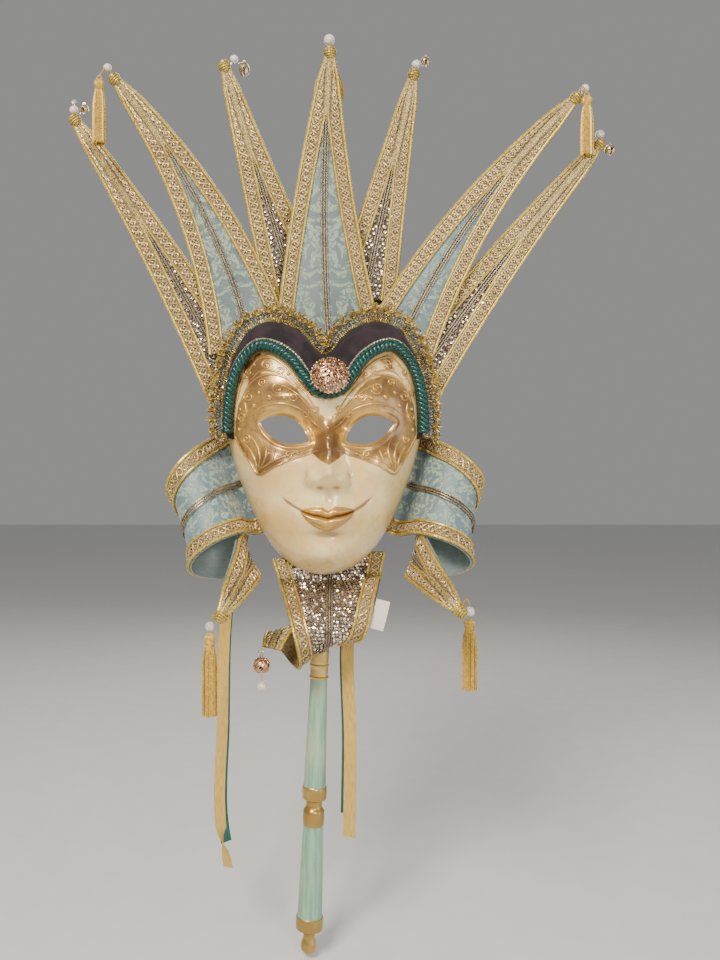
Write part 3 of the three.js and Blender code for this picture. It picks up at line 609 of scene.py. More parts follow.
RIM_Y = -26                            # plane of the shell's back rim
FACE_RISE = 50                         # depth of the plain shell, from its rim to its centre
SHELL_WALL = 3
FACE_Z = -115                          # height of the nose tip, the pole of the shell's grid
OUTLINE = [(0, -24), (9, -17), (20, -5), (33, 2), (46, 4), (59, -2), (70, -18), (77, -40), (80, -65),
           (79, -88), (74, -111), (64.5, -137), (52, -164), (38, -184), (21, -197), (0, -202)]
FEATURES = [                           # (x, z, spread x, spread z, height), mirrored where x > 0
    (0, -119, 9, 8, 17), (0, -101, 7, 18, 12), (10, -124, 6, 6, 9), (0, -60, 16, 12, 6),
    (30, -60, 22, 8, 5), (31, -84, 18, 11, -9), (13, -84, 7, 9, -6), (43, -112, 17, 14, 7),
    (0, -148, 24, 16, 6), (0, -184, 18, 11, 8)]
DIMPLES = [                            # the same, for the nostrils, lip, chin and cheeks
    (6.4, -130, 3.0, 1.4, -2.4), (12.5, -125, 4.2, 4.2, 2.0), (0, -120, 6, 5.5, 1.6),
    (0, -137, 2.6, 5, -1.3), (0, -189, 2.8, 2.8, -1.3), (16.5, -121, 1.8, 5, -1.4),
    (0, -166, 13, 3.5, -2.4), (47, -150, 5, 22, 1.6)]
EYE = {"inner": (14, -94), "outer": (52, -79), "upper": 12, "lower": 9}
LID = (2.4, 1.7, 1.4)                  # the lid's ridge: distance from the hole, spread, height
NORMAL_INSET = 0.985                   # normals are read this far in, clear of the steep rim
SECTORS = 40                           # sectors that the CAD's places on the rim are counted in


def mirrored(half):
    return [(-x, z) for x, z in half[:0:-1]] + list(half)


RIM = resample(spline(list(OUTLINE) + [(-x, z) for x, z in OUTLINE[-2:0:-1]], closed=True), 1440, True)
RIM_ANGLE = np.arctan2(RIM[:, 1] - FACE_Z, RIM[:, 0])
RIM_REACH = np.hypot(RIM[:, 0], RIM[:, 1] - FACE_Z)


def rim_radius(x, z):
    return np.interp(np.arctan2(z - FACE_Z, x), RIM_ANGLE, RIM_REACH, period=TAU)


def bumps(x, z, features):
    total = 0
    for fx, fz, sx, sz, height in features:
        for cx in ([0] if fx == 0 else [-fx, fx]):
            total = total + height * np.exp(-(((x - cx) / sx) ** 2) - ((z - fz) / sz) ** 2)
    return total


def face_depth(x, z):
    """Depth of the shell's plain front, as in the CAD model."""
    share = np.minimum(1, np.hypot(x, z - FACE_Z) / rim_radius(x, z))
    shell = (1 - share ** 3) ** 0.6
    return -RIM_Y + FACE_RISE * shell + np.minimum(1, (1 - share) * 6) * bumps(x, z, FEATURES)


def almond(side, count=48):
    """Outline of an eye hole. side is 1 on the right."""
    inner, outer = np.array(EYE["inner"], float), np.array(EYE["outer"], float)
    run = outer - inner
    across = np.array([-run[1], run[0]]) / np.linalg.norm(run)
    share = np.linspace(0, 1, count, endpoint=False)
    swell = np.sin(math.pi * share)[:, None] ** 0.8
    top = inner + share[:, None] * run + across * EYE["upper"] * swell
    low = outer - share[:, None] * run - across * EYE["lower"] * swell
    line = np.vstack([top, low])
    line[:, 0] *= side
    return line


def distance_to(line, x, z, closed=True):
    """Distance from each point to a line, negative inside a closed one."""
    a = line
    b = np.roll(line, -1, axis=0)
    if not closed:
        a, b = line[:-1], line[1:]
    best = np.full(x.shape, 1e9)
    inside = np.zeros(x.shape, bool)
    for (ax, az), (bx, bz) in zip(a, b):
        length = max((bx - ax) ** 2 + (bz - az) ** 2, 1e-9)
        t = np.clip(((x - ax) * (bx - ax) + (z - az) * (bz - az)) / length, 0, 1)
        best = np.minimum(best, np.hypot(x - ax - t * (bx - ax), z - az - t * (bz - az)))
        if abs(bz - az) > 1e-9:
            crosses = ((az > z) != (bz > z)) & (x < (bx - ax) * (z - az) / (bz - az) + ax)
            inside ^= crosses
    return np.where(inside & closed, -best, best)


LIP_HALF = 21
SMILE_HALF = 36


def mouth(x, z):
    """Height that the lips and the smile line add, and how far a point is on the lips, 0 to 1."""
    a = np.abs(x)
    line = -152 + 15.5 * (a / SMILE_HALF) ** 2.3 - 1.2 * np.exp(-((x / 4) ** 2))
    width = np.clip(1 - (a / LIP_HALF) ** 2, 0, 1)
    upper = np.maximum(7.6 * width ** 0.75 - 1.7 * np.exp(-((x / 3.2) ** 2)), 1e-3)
    lower = np.maximum(10.2 * width ** 0.75, 1e-3)
    up, down = (z - line) / upper, (line - z) / lower
    high = 3.4 * np.sin(math.pi * np.clip(up, 0, 1)) ** 0.7 * width ** 0.4
    deep = 4.6 * np.sin(math.pi * np.clip(down, 0, 1)) ** 0.7 * width ** 0.4
    groove = -1.7 * np.exp(-(((z - line) / 1.2) ** 2)) * np.clip((SMILE_HALF - a) / 6, 0, 1)
    within = [np.clip(1.2 - np.abs(way - 0.5) * 2, 0, 1) for way in (up, down)]
    on_lips = np.maximum(*within)
    return high + deep + groove, np.clip(on_lips * 6, 0, 1) * (width > 0.02)


def fine_depth(x, z):
    """Depth of the finished front: the plain one with lips, nostrils, creases and eyelids."""
    share = np.minimum(1, np.hypot(x, z - FACE_Z) / rim_radius(x, z))
    fade = np.minimum(1, (1 - share) * 8)
    lids = 0
    for side in (-1, 1):
        away = distance_to(almond(side), x, z)
        lids = lids + LID[2] * np.exp(-(((away - LID[0]) / LID[1]) ** 2)) * (away > -1)
    return face_depth(x, z) + fade * (bumps(x, z, DIMPLES) + mouth(x, z)[0] + lids)


def normal_of(depth, x, z):
    step = 0.8
    px, pz = x * NORMAL_INSET, FACE_Z + (z - FACE_Z) * NORMAL_INSET
    dx = (depth(px + step, pz) - depth(px - step, pz)) / (2 * step)
    dz = (depth(px, pz + step) - depth(px, pz - step)) / (2 * step)
    return unit(np.stack([-dx, -np.ones_like(dx), -dz], axis=-1))


def on_face(points, lift, depth=fine_depth):
    """Points (x, z) laid on the face, lifted off it, and the face's normals there."""
    x, z = np.asarray(points, float).T
    n = normal_of(depth, x, z)
    return np.stack([x, -depth(x, z), z], axis=1) + n * lift, n


def rim_point(sector, ring, push=0.0, depth=face_depth):
    """Point of the plain front at a sector and a share of the way to the rim."""
    angle = np.asarray(sector, float) / SECTORS * TAU + math.pi / 2
    reach = rim_radius(np.cos(angle), FACE_Z + np.sin(angle)) * ring
    x, z = reach * np.cos(angle), FACE_Z + reach * np.sin(angle)
    n = normal_of(depth, x, z)
    push = np.asarray(push, float)[..., None]
    return np.stack([x, -depth(x, z), z], axis=-1) + n * push


# Outline of the gold half mask, right half, from the brow down round the cheek to the nose.
GILT_HALF = [(0, -77), (10, -69), (21.5, -57), (32.5, -46), (48, -41), (61, -47), (70, -64), (73, -88),
             (65, -102), (53, -119), (40, -113), (25, -107), (13, -102.5), (6.5, -109), (0, -114)]
GILT = np.array(GILT_HALF + [(-x, z) for x, z in GILT_HALF[-2:0:-1]], float)
# Forehead between the half mask and the rope, where the gold is only a worn wash.
FOREHEAD_HALF = [(7, -70), (14, -55), (28, -35), (42, -24), (54, -22), (66, -36), (74, -62), (74, -88),
                 (66, -72), (58, -52), (46, -44), (32, -49), (20, -61)]
FOREHEAD = np.array(FOREHEAD_HALF + [(-x, z) for x, z in FOREHEAD_HALF[::-1]], float)
WASH = 0.40
PAINTED = 0.9
INSIDE_SHADE = 0.8                     # the bare inside is darker than the glazed front


def set_attribute(mesh, name, values):
    layer = mesh.attributes.new(name, "FLOAT", "POINT")
    layer.data.foreach_set("value", np.asarray(values, np.float32))


def points_of(mesh):
    co = np.empty(len(mesh.vertices) * 3, np.float32)
    mesh.vertices.foreach_get("co", co)
    return co.reshape(-1, 3).astype(float) / MM


def boolean(obj, cutters):
    """Cuts closed objects out of one and deletes them."""
    for cutter in cutters:
        modifier = obj.modifiers.new("cut", "BOOLEAN")
        modifier.operation = "DIFFERENCE"
        modifier.solver = "EXACT"
        modifier.object = cutter
    apply_modifiers(obj)
    for cutter in cutters:
        bpy.data.objects.remove(cutter)


def apply_modifiers(obj):
    bpy.context.view_layer.update()
    graph = bpy.context.evaluated_depsgraph_get()
    baked = bpy.data.meshes.new_from_object(obj.evaluated_get(graph), depsgraph=graph)
    obj.modifiers.clear()
    obj.data = baked


def loose(soup, name, materials=()):
    """An object that is a tool or is still being shaped."""
    obj = bpy.data.objects.new(name, soup.mesh(name, materials))
    bpy.context.collection.objects.link(obj)
    return obj


def build_face():
    turns, rings = 384, 130
    angle = np.arange(turns) / turns * TAU
    share = np.linspace(0, 1, rings + 1)[1:] ** 0.93
    reach = rim_radius(np.cos(angle), FACE_Z + np.sin(angle))
    x = share[:, None] * reach * np.cos(angle)
    z = FACE_Z + share[:, None] * reach * np.sin(angle)
    front = np.stack([x, -fine_depth(x, z), z], axis=-1)
    back_rows = np.linspace(0, rings - 1, 34).astype(int)[::-1]
    bx, bz = x[back_rows], z[back_rows]
    back = np.stack([bx, -face_depth(bx, bz), bz], axis=-1)
    back = back - normal_of(face_depth, bx, bz) * SHELL_WALL
    back[..., 1] = np.minimum(back[..., 1], RIM_Y)
    rows = np.concatenate([front, back])
    obj = loose(Soup().add(rows, capped(len(rows), turns)), "papier_mache_face", [M["face"]])
    cutters = []
    for side in (-1, 1):
        line = almond(side)
        ends = [np.stack([line[:, 0], np.full(len(line), y), line[:, 1]], axis=1) for y in (-130, -20)]
        cutters.append(loose(Soup().add(np.vstack(ends), capped(2, len(line))), "eye_cutter"))
    boolean(obj, cutters)
    mesh = obj.data
    p = points_of(mesh)
    away = distance_to(GILT, p[:, 0], p[:, 2])
    brow = distance_to(FOREHEAD, p[:, 0], p[:, 2])
    lips = mouth(p[:, 0], p[:, 2])[1]
    in_front = -p[:, 1] > face_depth(p[:, 0], p[:, 2]) - SHELL_WALL * 0.5
    painted = np.maximum(PAINTED * np.clip(0.5 - away / 3, 0, 1), WASH * np.clip(0.5 - brow / 5, 0, 1))
    # Painted highlight: the gold on the upper, inner part round the eye holes and on the lips is painted
    # brighter.
    lids = np.minimum(distance_to(almond(-1), p[:, 0], p[:, 2]), distance_to(almond(1), p[:, 0], p[:, 2]))
    inward = np.clip((52 - np.abs(p[:, 0])) / 30, 0, 1) * np.clip((p[:, 2] + 108) / 16, 0, 1)
    set_attribute(mesh, "bright", np.exp(-((lids / 6.5) ** 2)) * inward + 0.4 * lips)
    set_attribute(mesh, "gilt", np.maximum(painted, lips) * in_front)
    # Glaze and painted shade: darker in the recessed relief and the mouth's groove, where the glaze settles
    # and shade falls; painted shade along the rim and beside and under the nose.
    raised = fine_depth(p[:, 0], p[:, 2]) - face_depth(p[:, 0], p[:, 2])
    line = mouth(p[:, 0], p[:, 2])[0]
    hollow = np.clip(-raised / 3.2, 0, 1) + np.clip(-line / 1.2, 0, 0.9)
    edge = np.clip(1 - (1 - np.hypot(p[:, 0], p[:, 2] - FACE_Z) / rim_radius(p[:, 0], p[:, 2])) * 22, 0, 1)
    nose_shade = np.clip(bumps(p[:, 0], p[:, 2], [(17, -122, 3, 7, 0.35), (0, -131, 9, 3, 0.3)]), 0, 1)
    shade = np.clip(hollow + 0.5 * edge + nose_shade, 0, 1)
    set_attribute(mesh, "hollow", np.where(in_front, shade, INSIDE_SHADE))
    mesh.polygons.foreach_set("use_smooth", np.ones(len(mesh.polygons), bool))
    mesh.set_sharp_from_angle(angle=math.radians(48))
    return placed(obj, stands_for=["face_shell"], slot="papier_mache")


def spiral(x, z, radius, turns, start, hand=1, count=40):
    """Flat spiral about (x, z), wound inwards."""
    t = np.linspace(0, 1, count)
    angle = math.radians(start) + hand * turns * TAU * t
    r = radius * (1 - 0.82 * t)
    return np.stack([x + r * np.cos(angle), z + r * np.sin(angle)], axis=1)


# Piped relief on the right half of the gilt area: lines through points (x, z), spirals and dots.
PIPED_LINES = [
    [(8, -101.5), (14, -104), (25, -107.5), (40, -113.5), (53, -119.5), (60, -110), (66, -101), (73, -89)],
    [(16, -100), (27, -103.5), (41, -109), (52, -114.5), (58, -106)],
    [(2, -79), (8, -72), (14, -62), (23, -52), (32, -45), (43, -42), (54, -44), (62, -51), (67, -62)],
    [(7, -76), (15, -67), (24, -58), (33, -52), (42, -50)],
    [(4, -85), (10, -80), (17, -72), (27, -67), (38, -65), (50, -67), (60, -74)],
    [(54, -117), (56, -108), (61, -99), (68, -92)],
    [(53.5, -117), (52, -107), (54, -98), (59, -90)],
    [(53, -117), (48, -108), (47, -99), (50, -92)],
    [(52, -116), (43, -109), (40, -101)],
    [(71, -80), (66, -77), (63, -71), (64, -63)],
    [(12, -60), (21, -50), (31, -37), (42, -29), (52, -28), (59, -35), (66, -47), (70, -62)],
    [(24, -52), (33, -44), (42, -39), (52, -39), (60, -46)],
]
PIPED_SPIRALS = [                      # x, z, radius, turns, start angle, hand
    (38, -53, 5.2, 1.6, 200, 1), (26, -60.5, 3.6, 1.4, 40, -1), (61, -58.5, 4.2, 1.5, 90, -1),
    (66.5, -74, 3.6, 1.4, 240, 1), (17, -73, 3.0, 1.3, 150, 1), (30, -104.5, 3.4, 1.4, 330, -1),
    (63, -92, 3.8, 1.5, 60, 1), (9, -69, 2.6, 1.3, 0, -1), (50, -48, 3.2, 1.4, 300, 1),
    (47, -34, 4.4, 1.6, 180, -1), (36, -39, 3.0, 1.4, 30, 1), (61, -39, 2.8, 1.3, 120, -1),
]
PIPED_DOTS = [                         # x, z, radius
    (30, -42, 1.6), (57, -33, 1.7), (63, -43, 1.4), (20, -55, 1.3), (45, -60, 2.6), (53, -56, 1.9),
    (33.5, -61, 1.7), (38, -106.5, 1.6), (22.5, -104, 1.4), (57, -66, 1.9), (69, -84, 1.6),
    (68, -68, 1.3), (0.01, -84, 1.3), (0.01, -92, 1.5), (0.01, -100, 1.3), (45, -103.5, 1.3),
]
PIPE_R = 0.75
PIPE_SEAT = 0.15                       # how far a piped line's middle stands off the face


def build_relief():
    """Raised scrolls, leaves and dots in gilded paste."""
    soup = Soup()
    lines = [spline(line, samples=10) for line in PIPED_LINES] + [spiral(*s) for s in PIPED_SPIRALS]
    for side in (-1, 1):
        for line in lines:
            fine = resample(line, max(10, int(len(line) * 0.8)))
            path, n = on_face(fine * (side, 1), PIPE_SEAT)
            share = np.linspace(0, 1, len(path))
            soup.add(*tube(path, PIPE_R * (0.45 + 0.75 * np.sin(math.pi * share) ** 0.5), 8, n))
        for x, z, r in PIPED_DOTS:
            if x < 1 and side < 0:
                continue
            (centre,), (n,) = on_face([(x * side, z)], 0)
            dome, faces = lathe(ball_profile(r, 0.72, 9), 1, 16)
            turn = np.array(Vector((0, 0, 1)).rotation_difference(Vector(n)).to_matrix())
            soup.add(dome @ turn.T + centre, faces)
    obj = soup.piece("piped_scrolls", [M["face"]], slot="papier_mache")
    set_attribute(obj.data, "gilt", np.ones(soup.count))
    set_attribute(obj.data, "hollow", np.zeros(soup.count))
    # a little painted highlight over all the piped gold
    set_attribute(obj.data, "bright", np.full(soup.count, 0.35))


# ------------------------------------------------------------------ brow

CORD_LINE = [(0, -60), (11, -57), (19, -46), (29, -32), (41, -23), (52, -21), (62, -30), (68.5, -43),
             (72.5, -64), (73.5, -84)]
CORD_R = 4.7
CORD_SEAT = 1.1
CORD_LEAD = 11.5                       # length of one full twist of the rope
VELVET = 4
VELVET_SEAT = 0.8
GIMP_R = 3.5
GIMP_CLEAR = 1.8
GIMP_FORWARD = 6
BROW_SECTORS = 8
CORD_FLAT = spline(mirrored(CORD_LINE))


def build_cord():
    """Three-ply satin rope, bound at both ends, with a silver thread laid along its upper side."""
    flat = resample(CORD_FLAT, 150)
    path, n = on_face(flat, CORD_R + CORD_SEAT, face_depth)
    soup = Soup()
    for ply in range(3):
        line, out = helix(path, n, 2.5, CORD_LEAD, ply * TAU / 3, 0.9)
        soup.add(*tube(line, 2.15, 10, out))
    tangent = unit(np.gradient(path, axis=0))
    outward = unit(np.cross(tangent, n))
    outward *= np.sign(outward[:, 2:3] * (path[:, 2:3] - FACE_Z) + outward[:, :1] * path[:, :1])
    for ply in range(2):
        line, out = helix(path + outward * (CORD_R + 0.5) + n * 1.0, n, 0.45, 3.0, ply * math.pi, 0.6)
        soup.add(*tube(line, 0.45, 6, out), material=1)
    for end, beside in ((0, 3), (-1, -4)):
        step = unit(path[end] - path[beside])
        wrap = along(path[end] - step * 1.5, path[end] + step * 2.2, 6)
        soup.add(*tube(wrap, CORD_R * np.array([0.75, 1.0, 1.04, 1.02, 0.9, 0.45]), 16, n[end]))
    soup.piece("twisted_rope", [M["green"], M["silver"]], stands_for=["brow_cord"], slot="green_satin")


def build_velvet():
    """Padded band from the rope out over the rim and round to the back of it."""
    sectors = np.linspace(-BROW_SECTORS, BROW_SECTORS, 177)
    angle = np.arctan2(CORD_FLAT[:, 1] - FACE_Z, CORD_FLAT[:, 0])
    cord_share = np.hypot(CORD_FLAT[:, 0], CORD_FLAT[:, 1] - FACE_Z) / rim_radius(*CORD_FLAT.T)
    order = np.argsort(angle)
    at_cord = np.interp(sectors / SECTORS * TAU + math.pi / 2, angle[order], cord_share[order])
    start = np.minimum(0.985, at_cord)
    share = np.linspace(0, 1, 13)
    ring = start[:, None] + (1 - start[:, None]) * share
    wide = np.repeat(sectors[:, None], len(share), axis=1)
    puff = np.sin(math.pi * np.clip(0.12 + 0.8 * share, 0, 1)) ** 0.6
    tuck = 1 + 0.05 * np.sin(sectors * 9.0)[:, None] * np.sin(math.pi * share)
    taper = np.clip((BROW_SECTORS - np.abs(sectors)) / 1.2, 0.02, 1)[:, None] ** 0.5
    outer = rim_point(wide, ring, VELVET_SEAT + VELVET * puff * tuck * taper)
    inner = rim_point(wide, ring, VELVET_SEAT * 0.5)
    section = np.concatenate([outer, inner[:, ::-1]], axis=1)
    soup = Soup().add(section, capped(len(section), section.shape[1]))
    band = soup.piece("velvet_band", [M["velvet"]], stands_for=["brow_velvet"], slot="velvet")


def gimp_path():
    sectors = np.linspace(-BROW_SECTORS, BROW_SECTORS, 2 * BROW_SECTORS + 1)
    before, after = rim_point(sectors - 0.5, 1.0), rim_point(sectors + 0.5, 1.0)
    away = unit(np.stack([before[:, 2] - after[:, 2], 0 * sectors, after[:, 0] - before[:, 0]], axis=1))
    pole = np.stack([before[:, 0], 0 * sectors, before[:, 2] - FACE_Z], axis=1)
    away *= np.sign(np.einsum("ij,ij->i", away, pole))[:, None]
    path = rim_point(sectors, 1.0) + away * (VELVET + GIMP_R + GIMP_CLEAR)
    path[:, 1] = RIM_Y - GIMP_FORWARD
    return resample(spline(path), 240)


GIMP_PITCH = 9.0                       # distance between tufts
GIMP_PETALS = 10


def build_gimp():
    """Metallic edging: tufts of wire-bound loops along the band, over two rows of coils."""
    path = gimp_path()
    forward = np.array([0.0, -1.0, 0.0])
    tangent = unit(np.gradient(path, axis=0))
    away = unit(np.cross(forward, tangent))
    away *= np.sign(np.einsum("ij,ij->i", away, path - (0, 0, FACE_Z)))[:, None]
    soup = Soup()
    for inset, reach, lead, slot in ((5.8, 1.3, 1.9, 0), (3.2, 1.5, 2.1, 1), (0.4, 1.8, 2.4, 1)):
        line, out = helix(path - away * inset + forward * 0.8, forward, reach, lead, inset, 0.6)
        line = line + out * RNG.normal(0, 0.25, len(line))[:, None]
        way = unit(np.gradient(line, axis=0))
        soup.add(*tube(line, 0.42, 5, unit(np.cross(way, out))), material=slot)
    run = run_of(path)
    turn = np.arange(12) / 12 * TAU
    for at in np.arange(2, run[-1] - 2, GIMP_PITCH):
        i = int(np.argmin(np.abs(run - at)))
        root = path[i] + forward * 1.0
        for k in range(GIMP_PETALS):
            fan = math.radians(-84 + 168 * k / (GIMP_PETALS - 1) + RNG.normal(0, 6))
            way = away[i] * math.cos(fan) + tangent[i] * math.sin(fan) + forward * RNG.uniform(0.15, 1.1)
            way = unit(way)
            wide = unit(np.cross(way, forward + RNG.normal(0, 0.5, 3)))
            length = RNG.uniform(5.2, 8.2)
            ring = (root + way * length / 2 + np.cos(turn)[:, None] * way * length / 2
                    + np.sin(turn)[:, None] * wide * RNG.uniform(0.9, 1.35))
            soup.add(*tube(ring, 0.5, 5, np.cross(way, wide), closed=True), material=int(k % 3 == 0))
        soup.add(*lathe(ball_profile(1.3, 0.8, 6), 1, 8, root + forward * 1.6))
    soup.piece("curly_gimp", [M["gold"], M["bronze"]], stands_for=["rim_gimp"], slot="gold_thread")


BROOCH_AT = (1, -96, -43)
BROOCH_LEAN = 18
BROOCH_R = 14.3
STONE_CLAW = ((3.6, -1.6), (3.5, 0.3), (2.9, 0.9))      # distance out and height
BROOCH_RINGS = (                       # petals, distance out, size, first angle, wire's radius
    (8, 9.9, 4.3, 0.0, 0.62), (8, 9.4, 2.6, 0.4, 0.5), (6, 5.4, 2.7, 0.2, 0.6), (10, 12.4, 2.0, 0.1, 0.5))


def build_brooch():
    """Filigree dome: a cup, rings of wire petals with beads, and a faceted stone."""
    turn = np.array(Matrix.Rotation(math.radians(90 - BROOCH_LEAN), 3, "X"))
    soup = Soup()

    def put(verts, faces, material=0):
        soup.add(np.asarray(verts) @ turn.T + BROOCH_AT, faces, material)

    def dome(r):
        return -7.5 * (np.asarray(r) / BROOCH_R) ** 2.2

    put(*lathe([(-1.6, 0.4), (-1.9, 4), (-3.2, 8), (-5.8, 12), (-8.2, 14), (-9, 13.6), (-9, 1)], 4, 48), 1)
    for count, reach, size, phase, wire in BROOCH_RINGS:
        for k in range(count):
            angle = (k / count) * TAU + phase
            t = np.linspace(0, TAU, 18, endpoint=False)
            r = reach + size * np.cos(t)
            across = size * 0.72 * np.sin(t) * (1 - 0.25 * np.cos(t))
            x = r * math.cos(angle) - across * math.sin(angle)
            y = r * math.sin(angle) + across * math.cos(angle)
            z = dome(np.hypot(x, y)) + 0.5
            put(*tube(np.stack([x, y, z], axis=1), wire, 6, UP, closed=True))
            bead = (reach * math.cos(angle), reach * math.sin(angle), float(dome(reach)) + 0.8)
            put(*lathe(ball_profile(1.15, 0.9, 7), 1, 10, bead), material=k % 2 * 2)
    for k in range(30):
        angle = k / 30 * TAU
        bead = (BROOCH_R * math.cos(angle), BROOCH_R * math.sin(angle), -7.6)
        put(*lathe(ball_profile(0.95, 0.9, 7), 1, 8, bead))
    put(*lathe([(-1.2, 3.4), (0.3, 3.3), (1.0, 1.9), (1.1, 0.4)], 1, 8), material=2)
    for k in range(6):
        angle = k / 6 * TAU
        claw = [(r * math.cos(angle), r * math.sin(angle), z) for r, z in STONE_CLAW]
        put(*tube(claw, 0.35, 6, np.array([math.sin(angle), -math.cos(angle), 0.0])))
    soup.piece("filigree_brooch", [M["brass"], M["bronze"], M["stone"]], stands_for=["brooch"], slot="brass")


# ------------------------------------------------------------------ strips: spikes and curls

PANEL_T = 1.5
BRAID_W = 13.5
BRAID_SEAT = 0.3
BRAID_T = 2.0
RIB_W = 6.5
TIP_BALL_R = 5.5
TIP_BALL_OUT = 2.2
PINCH = (20, 0.32)                     # length of the stretch drawn in at a tip, and its share
MID_LEAN = 0.15
RIDGE = {"brocade": 0.03, "sequin": 0.02}
CURL_STEP = 14
CURL_TURN = 19
CURL_SEAT = 0.9
EYELET = 5.0                           # length of one eyelet of the edge braids

# base, tip, sideways bulge of the middle line, widths at both ends, cloth
SPIKES = {
    "outer_left": ((-73, -8.6, -49), (-202, -34, 167), 4, (52, 12), "sequin"),
    "left": ((-61, -16.2, -12), (-167, -48, 194), 15, (72, 12), "brocade"),
    "inner_left": ((-22, -8.6, 30), (-81, -34, 211), 0, (54, 11), "sequin"),
    "centre": ((4, -20.8, -12), (3, -54, 212), -4, (91, 12), "brocade"),
    "inner_right": ((35, -8.6, 30), (72, -34, 204), 0, (54, 11), "sequin"),
    "right": ((63, -16.2, -12), (198, -48, 179), -12, (62, 12), "brocade"),
    "outer_right": ((72, -8.6, -49), (222, -34, 147), -4, (52, 12), "sequin"),
}
# start, axis of the roll, way out, heading, runs of (length, turn), winding angles, widths, cloth, ball
CURLS = {
    "cheek_curl_left": (
        (-56, -15, -119), (0.34, -0.31, -0.88), (-1, 0, 0), -5,
        ((12, 0), (12, -55), (20, 8), (26, 60), (56, 155), (52, 125), (67, 66)),
        (12, 45), (98, 13), "brocade", True),
    "cheek_curl_right": (
        (56, -15, -121), (-0.24, -0.31, -0.92), (1, 0, 0), -5,
        ((12, 0), (12, -55), (20, 8), (26, 60), (54, 155), (49, 125), (70, 50)),
        (14, 42), (95, 13), "brocade", True),
    "chin_curl": (
        (4, -22, -186), (-0.92, -0.10, -0.36), (0, 0, -1), 0,
        ((17, 0), (8, -52), (22, 4), (22, 50), (38, 155), (32, 125), (21, 40)),
        (18, 38), (96, 15), "sequin", False),
}


class Strip:
    """A tapering strip: middle line p, across w, front normal n, half width h, at run s."""

    def __init__(self, p, w, n, h, ridge):
        self.p = p
        tangent = unit(np.gradient(p, axis=0))
        self.w = unit(w - tangent * np.einsum("ij,ij->i", w, tangent)[:, None])
        n2 = np.cross(self.w, tangent)
        self.n = n2 * np.sign(np.einsum("ij,ij->i", n2, n))[:, None]
        self.t = tangent
        self.h = h
        self.ridge = ridge
        self.s = run_of(p)
        self.length = self.s[-1]

    def at(self, s, across, lift):
        """Points at run s and distance across from the middle line, lifted off the front."""
        s, across, lift = np.broadcast_arrays(s, across, lift)
        pick = [np.stack([np.interp(s, self.s, a[:, k]) for k in range(3)], axis=-1)
                for a in (self.p, self.w, self.n)]
        half = np.interp(s, self.s, self.h)
        fold = (1 - np.minimum(1, np.abs(across) / half)) * 2 * half * self.ridge
        return pick[0] + pick[1] * across[..., None] + pick[2] * (lift + fold)[..., None]

    def normal(self, s):
        return unit(np.stack([np.interp(s, self.s, self.n[:, k]) for k in range(3)], axis=-1))

    def across(self, s):
        return unit(np.stack([np.interp(s, self.s, self.w[:, k]) for k in range(3)], axis=-1))

    def half(self, s):
        return np.interp(s, self.s, self.h)

    def pinch(self, length, share):
        """Draws the last stretch in, to meet the ball on its tip."""
        near = np.clip((self.s - self.length + length) / length, 0, 1)
        self.h = self.h * (1 - share * near ** 1.5)


def spike_strip(base, tip, bow, width, cloth):
    base, tip = np.array(base, float), np.array(tip, float)
    run = tip - base
    side = unit(np.array([run[2], 0, -run[0]]))
    mid = base + run / 2 + side * 2 * bow
    mid[1] = base[1] + (tip[1] - base[1]) * MID_LEAN
    t = np.linspace(0, 1, 121)[:, None]
    p = (1 - t) ** 2 * base + 2 * t * (1 - t) * mid + t ** 2 * tip
    way = unit(2 * (1 - t) * (mid - base) + 2 * t * (tip - mid))
    w = unit(np.stack([way[:, 2], 0 * way[:, 0], -way[:, 0]], axis=1))
    n = np.cross(w, way)
    n *= -np.sign(n[:, 1:2])
    h = (width[0] + (width[1] - width[0]) * t[:, 0]) / 2
    return Strip(p, w, n, h, RIDGE[cloth])


def curl_strip(start, axis, out, heading, runs, pitch, width):
    """The CAD's rolled strip, smoothed between the same sections."""
    a = unit(np.array(axis, float))
    out = np.array(out, float)
    round_way = unit(out - a * out.dot(a))
    b = np.cross(a, round_way)
    b = -b if b[1] < 0 else b
    total = sum(length for length, _ in runs)
    p, angle, done = np.array(start, float), math.radians(heading), 0.0
    rows = []

    def record():
        share = done / total
        wind = math.radians(pitch[0] + (pitch[1] - pitch[0]) * share)
        ahead = round_way * math.cos(angle) + b * math.sin(angle)
        n = round_way * math.sin(angle) - b * math.cos(angle)
        t = ahead * math.cos(wind) + a * math.sin(wind)
        w = a * math.cos(wind) - ahead * math.sin(wind)
        rows.append(np.concatenate([p, w, n, [(width[0] + (width[1] - width[0]) * share) / 2]]))
        return t

    for length, turn in runs:
        count = max(round(length / CURL_STEP), math.ceil(abs(turn) / CURL_TURN))
        for _ in range(count):
            t = record()
            angle += math.radians(turn) / count
            done += length / count
            p = p + t * length / count
    record()
    fine = spline(np.array(rows), samples=9)
    return Strip(fine[:, :3], fine[:, 3:6], fine[:, 6:9], fine[:, 9], 0.0)


def outside_head(p):
    """True where a point is clear of the shell and of the space it encloses."""
    share = np.hypot(p[..., 0], p[..., 2] - FACE_Z) / rim_radius(p[..., 0], p[..., 2])
    behind = p[..., 1] > RIM_Y + 0.3
    return behind | (share > 1) | (-p[..., 1] > face_depth(p[..., 0], p[..., 2]) - 1.2)


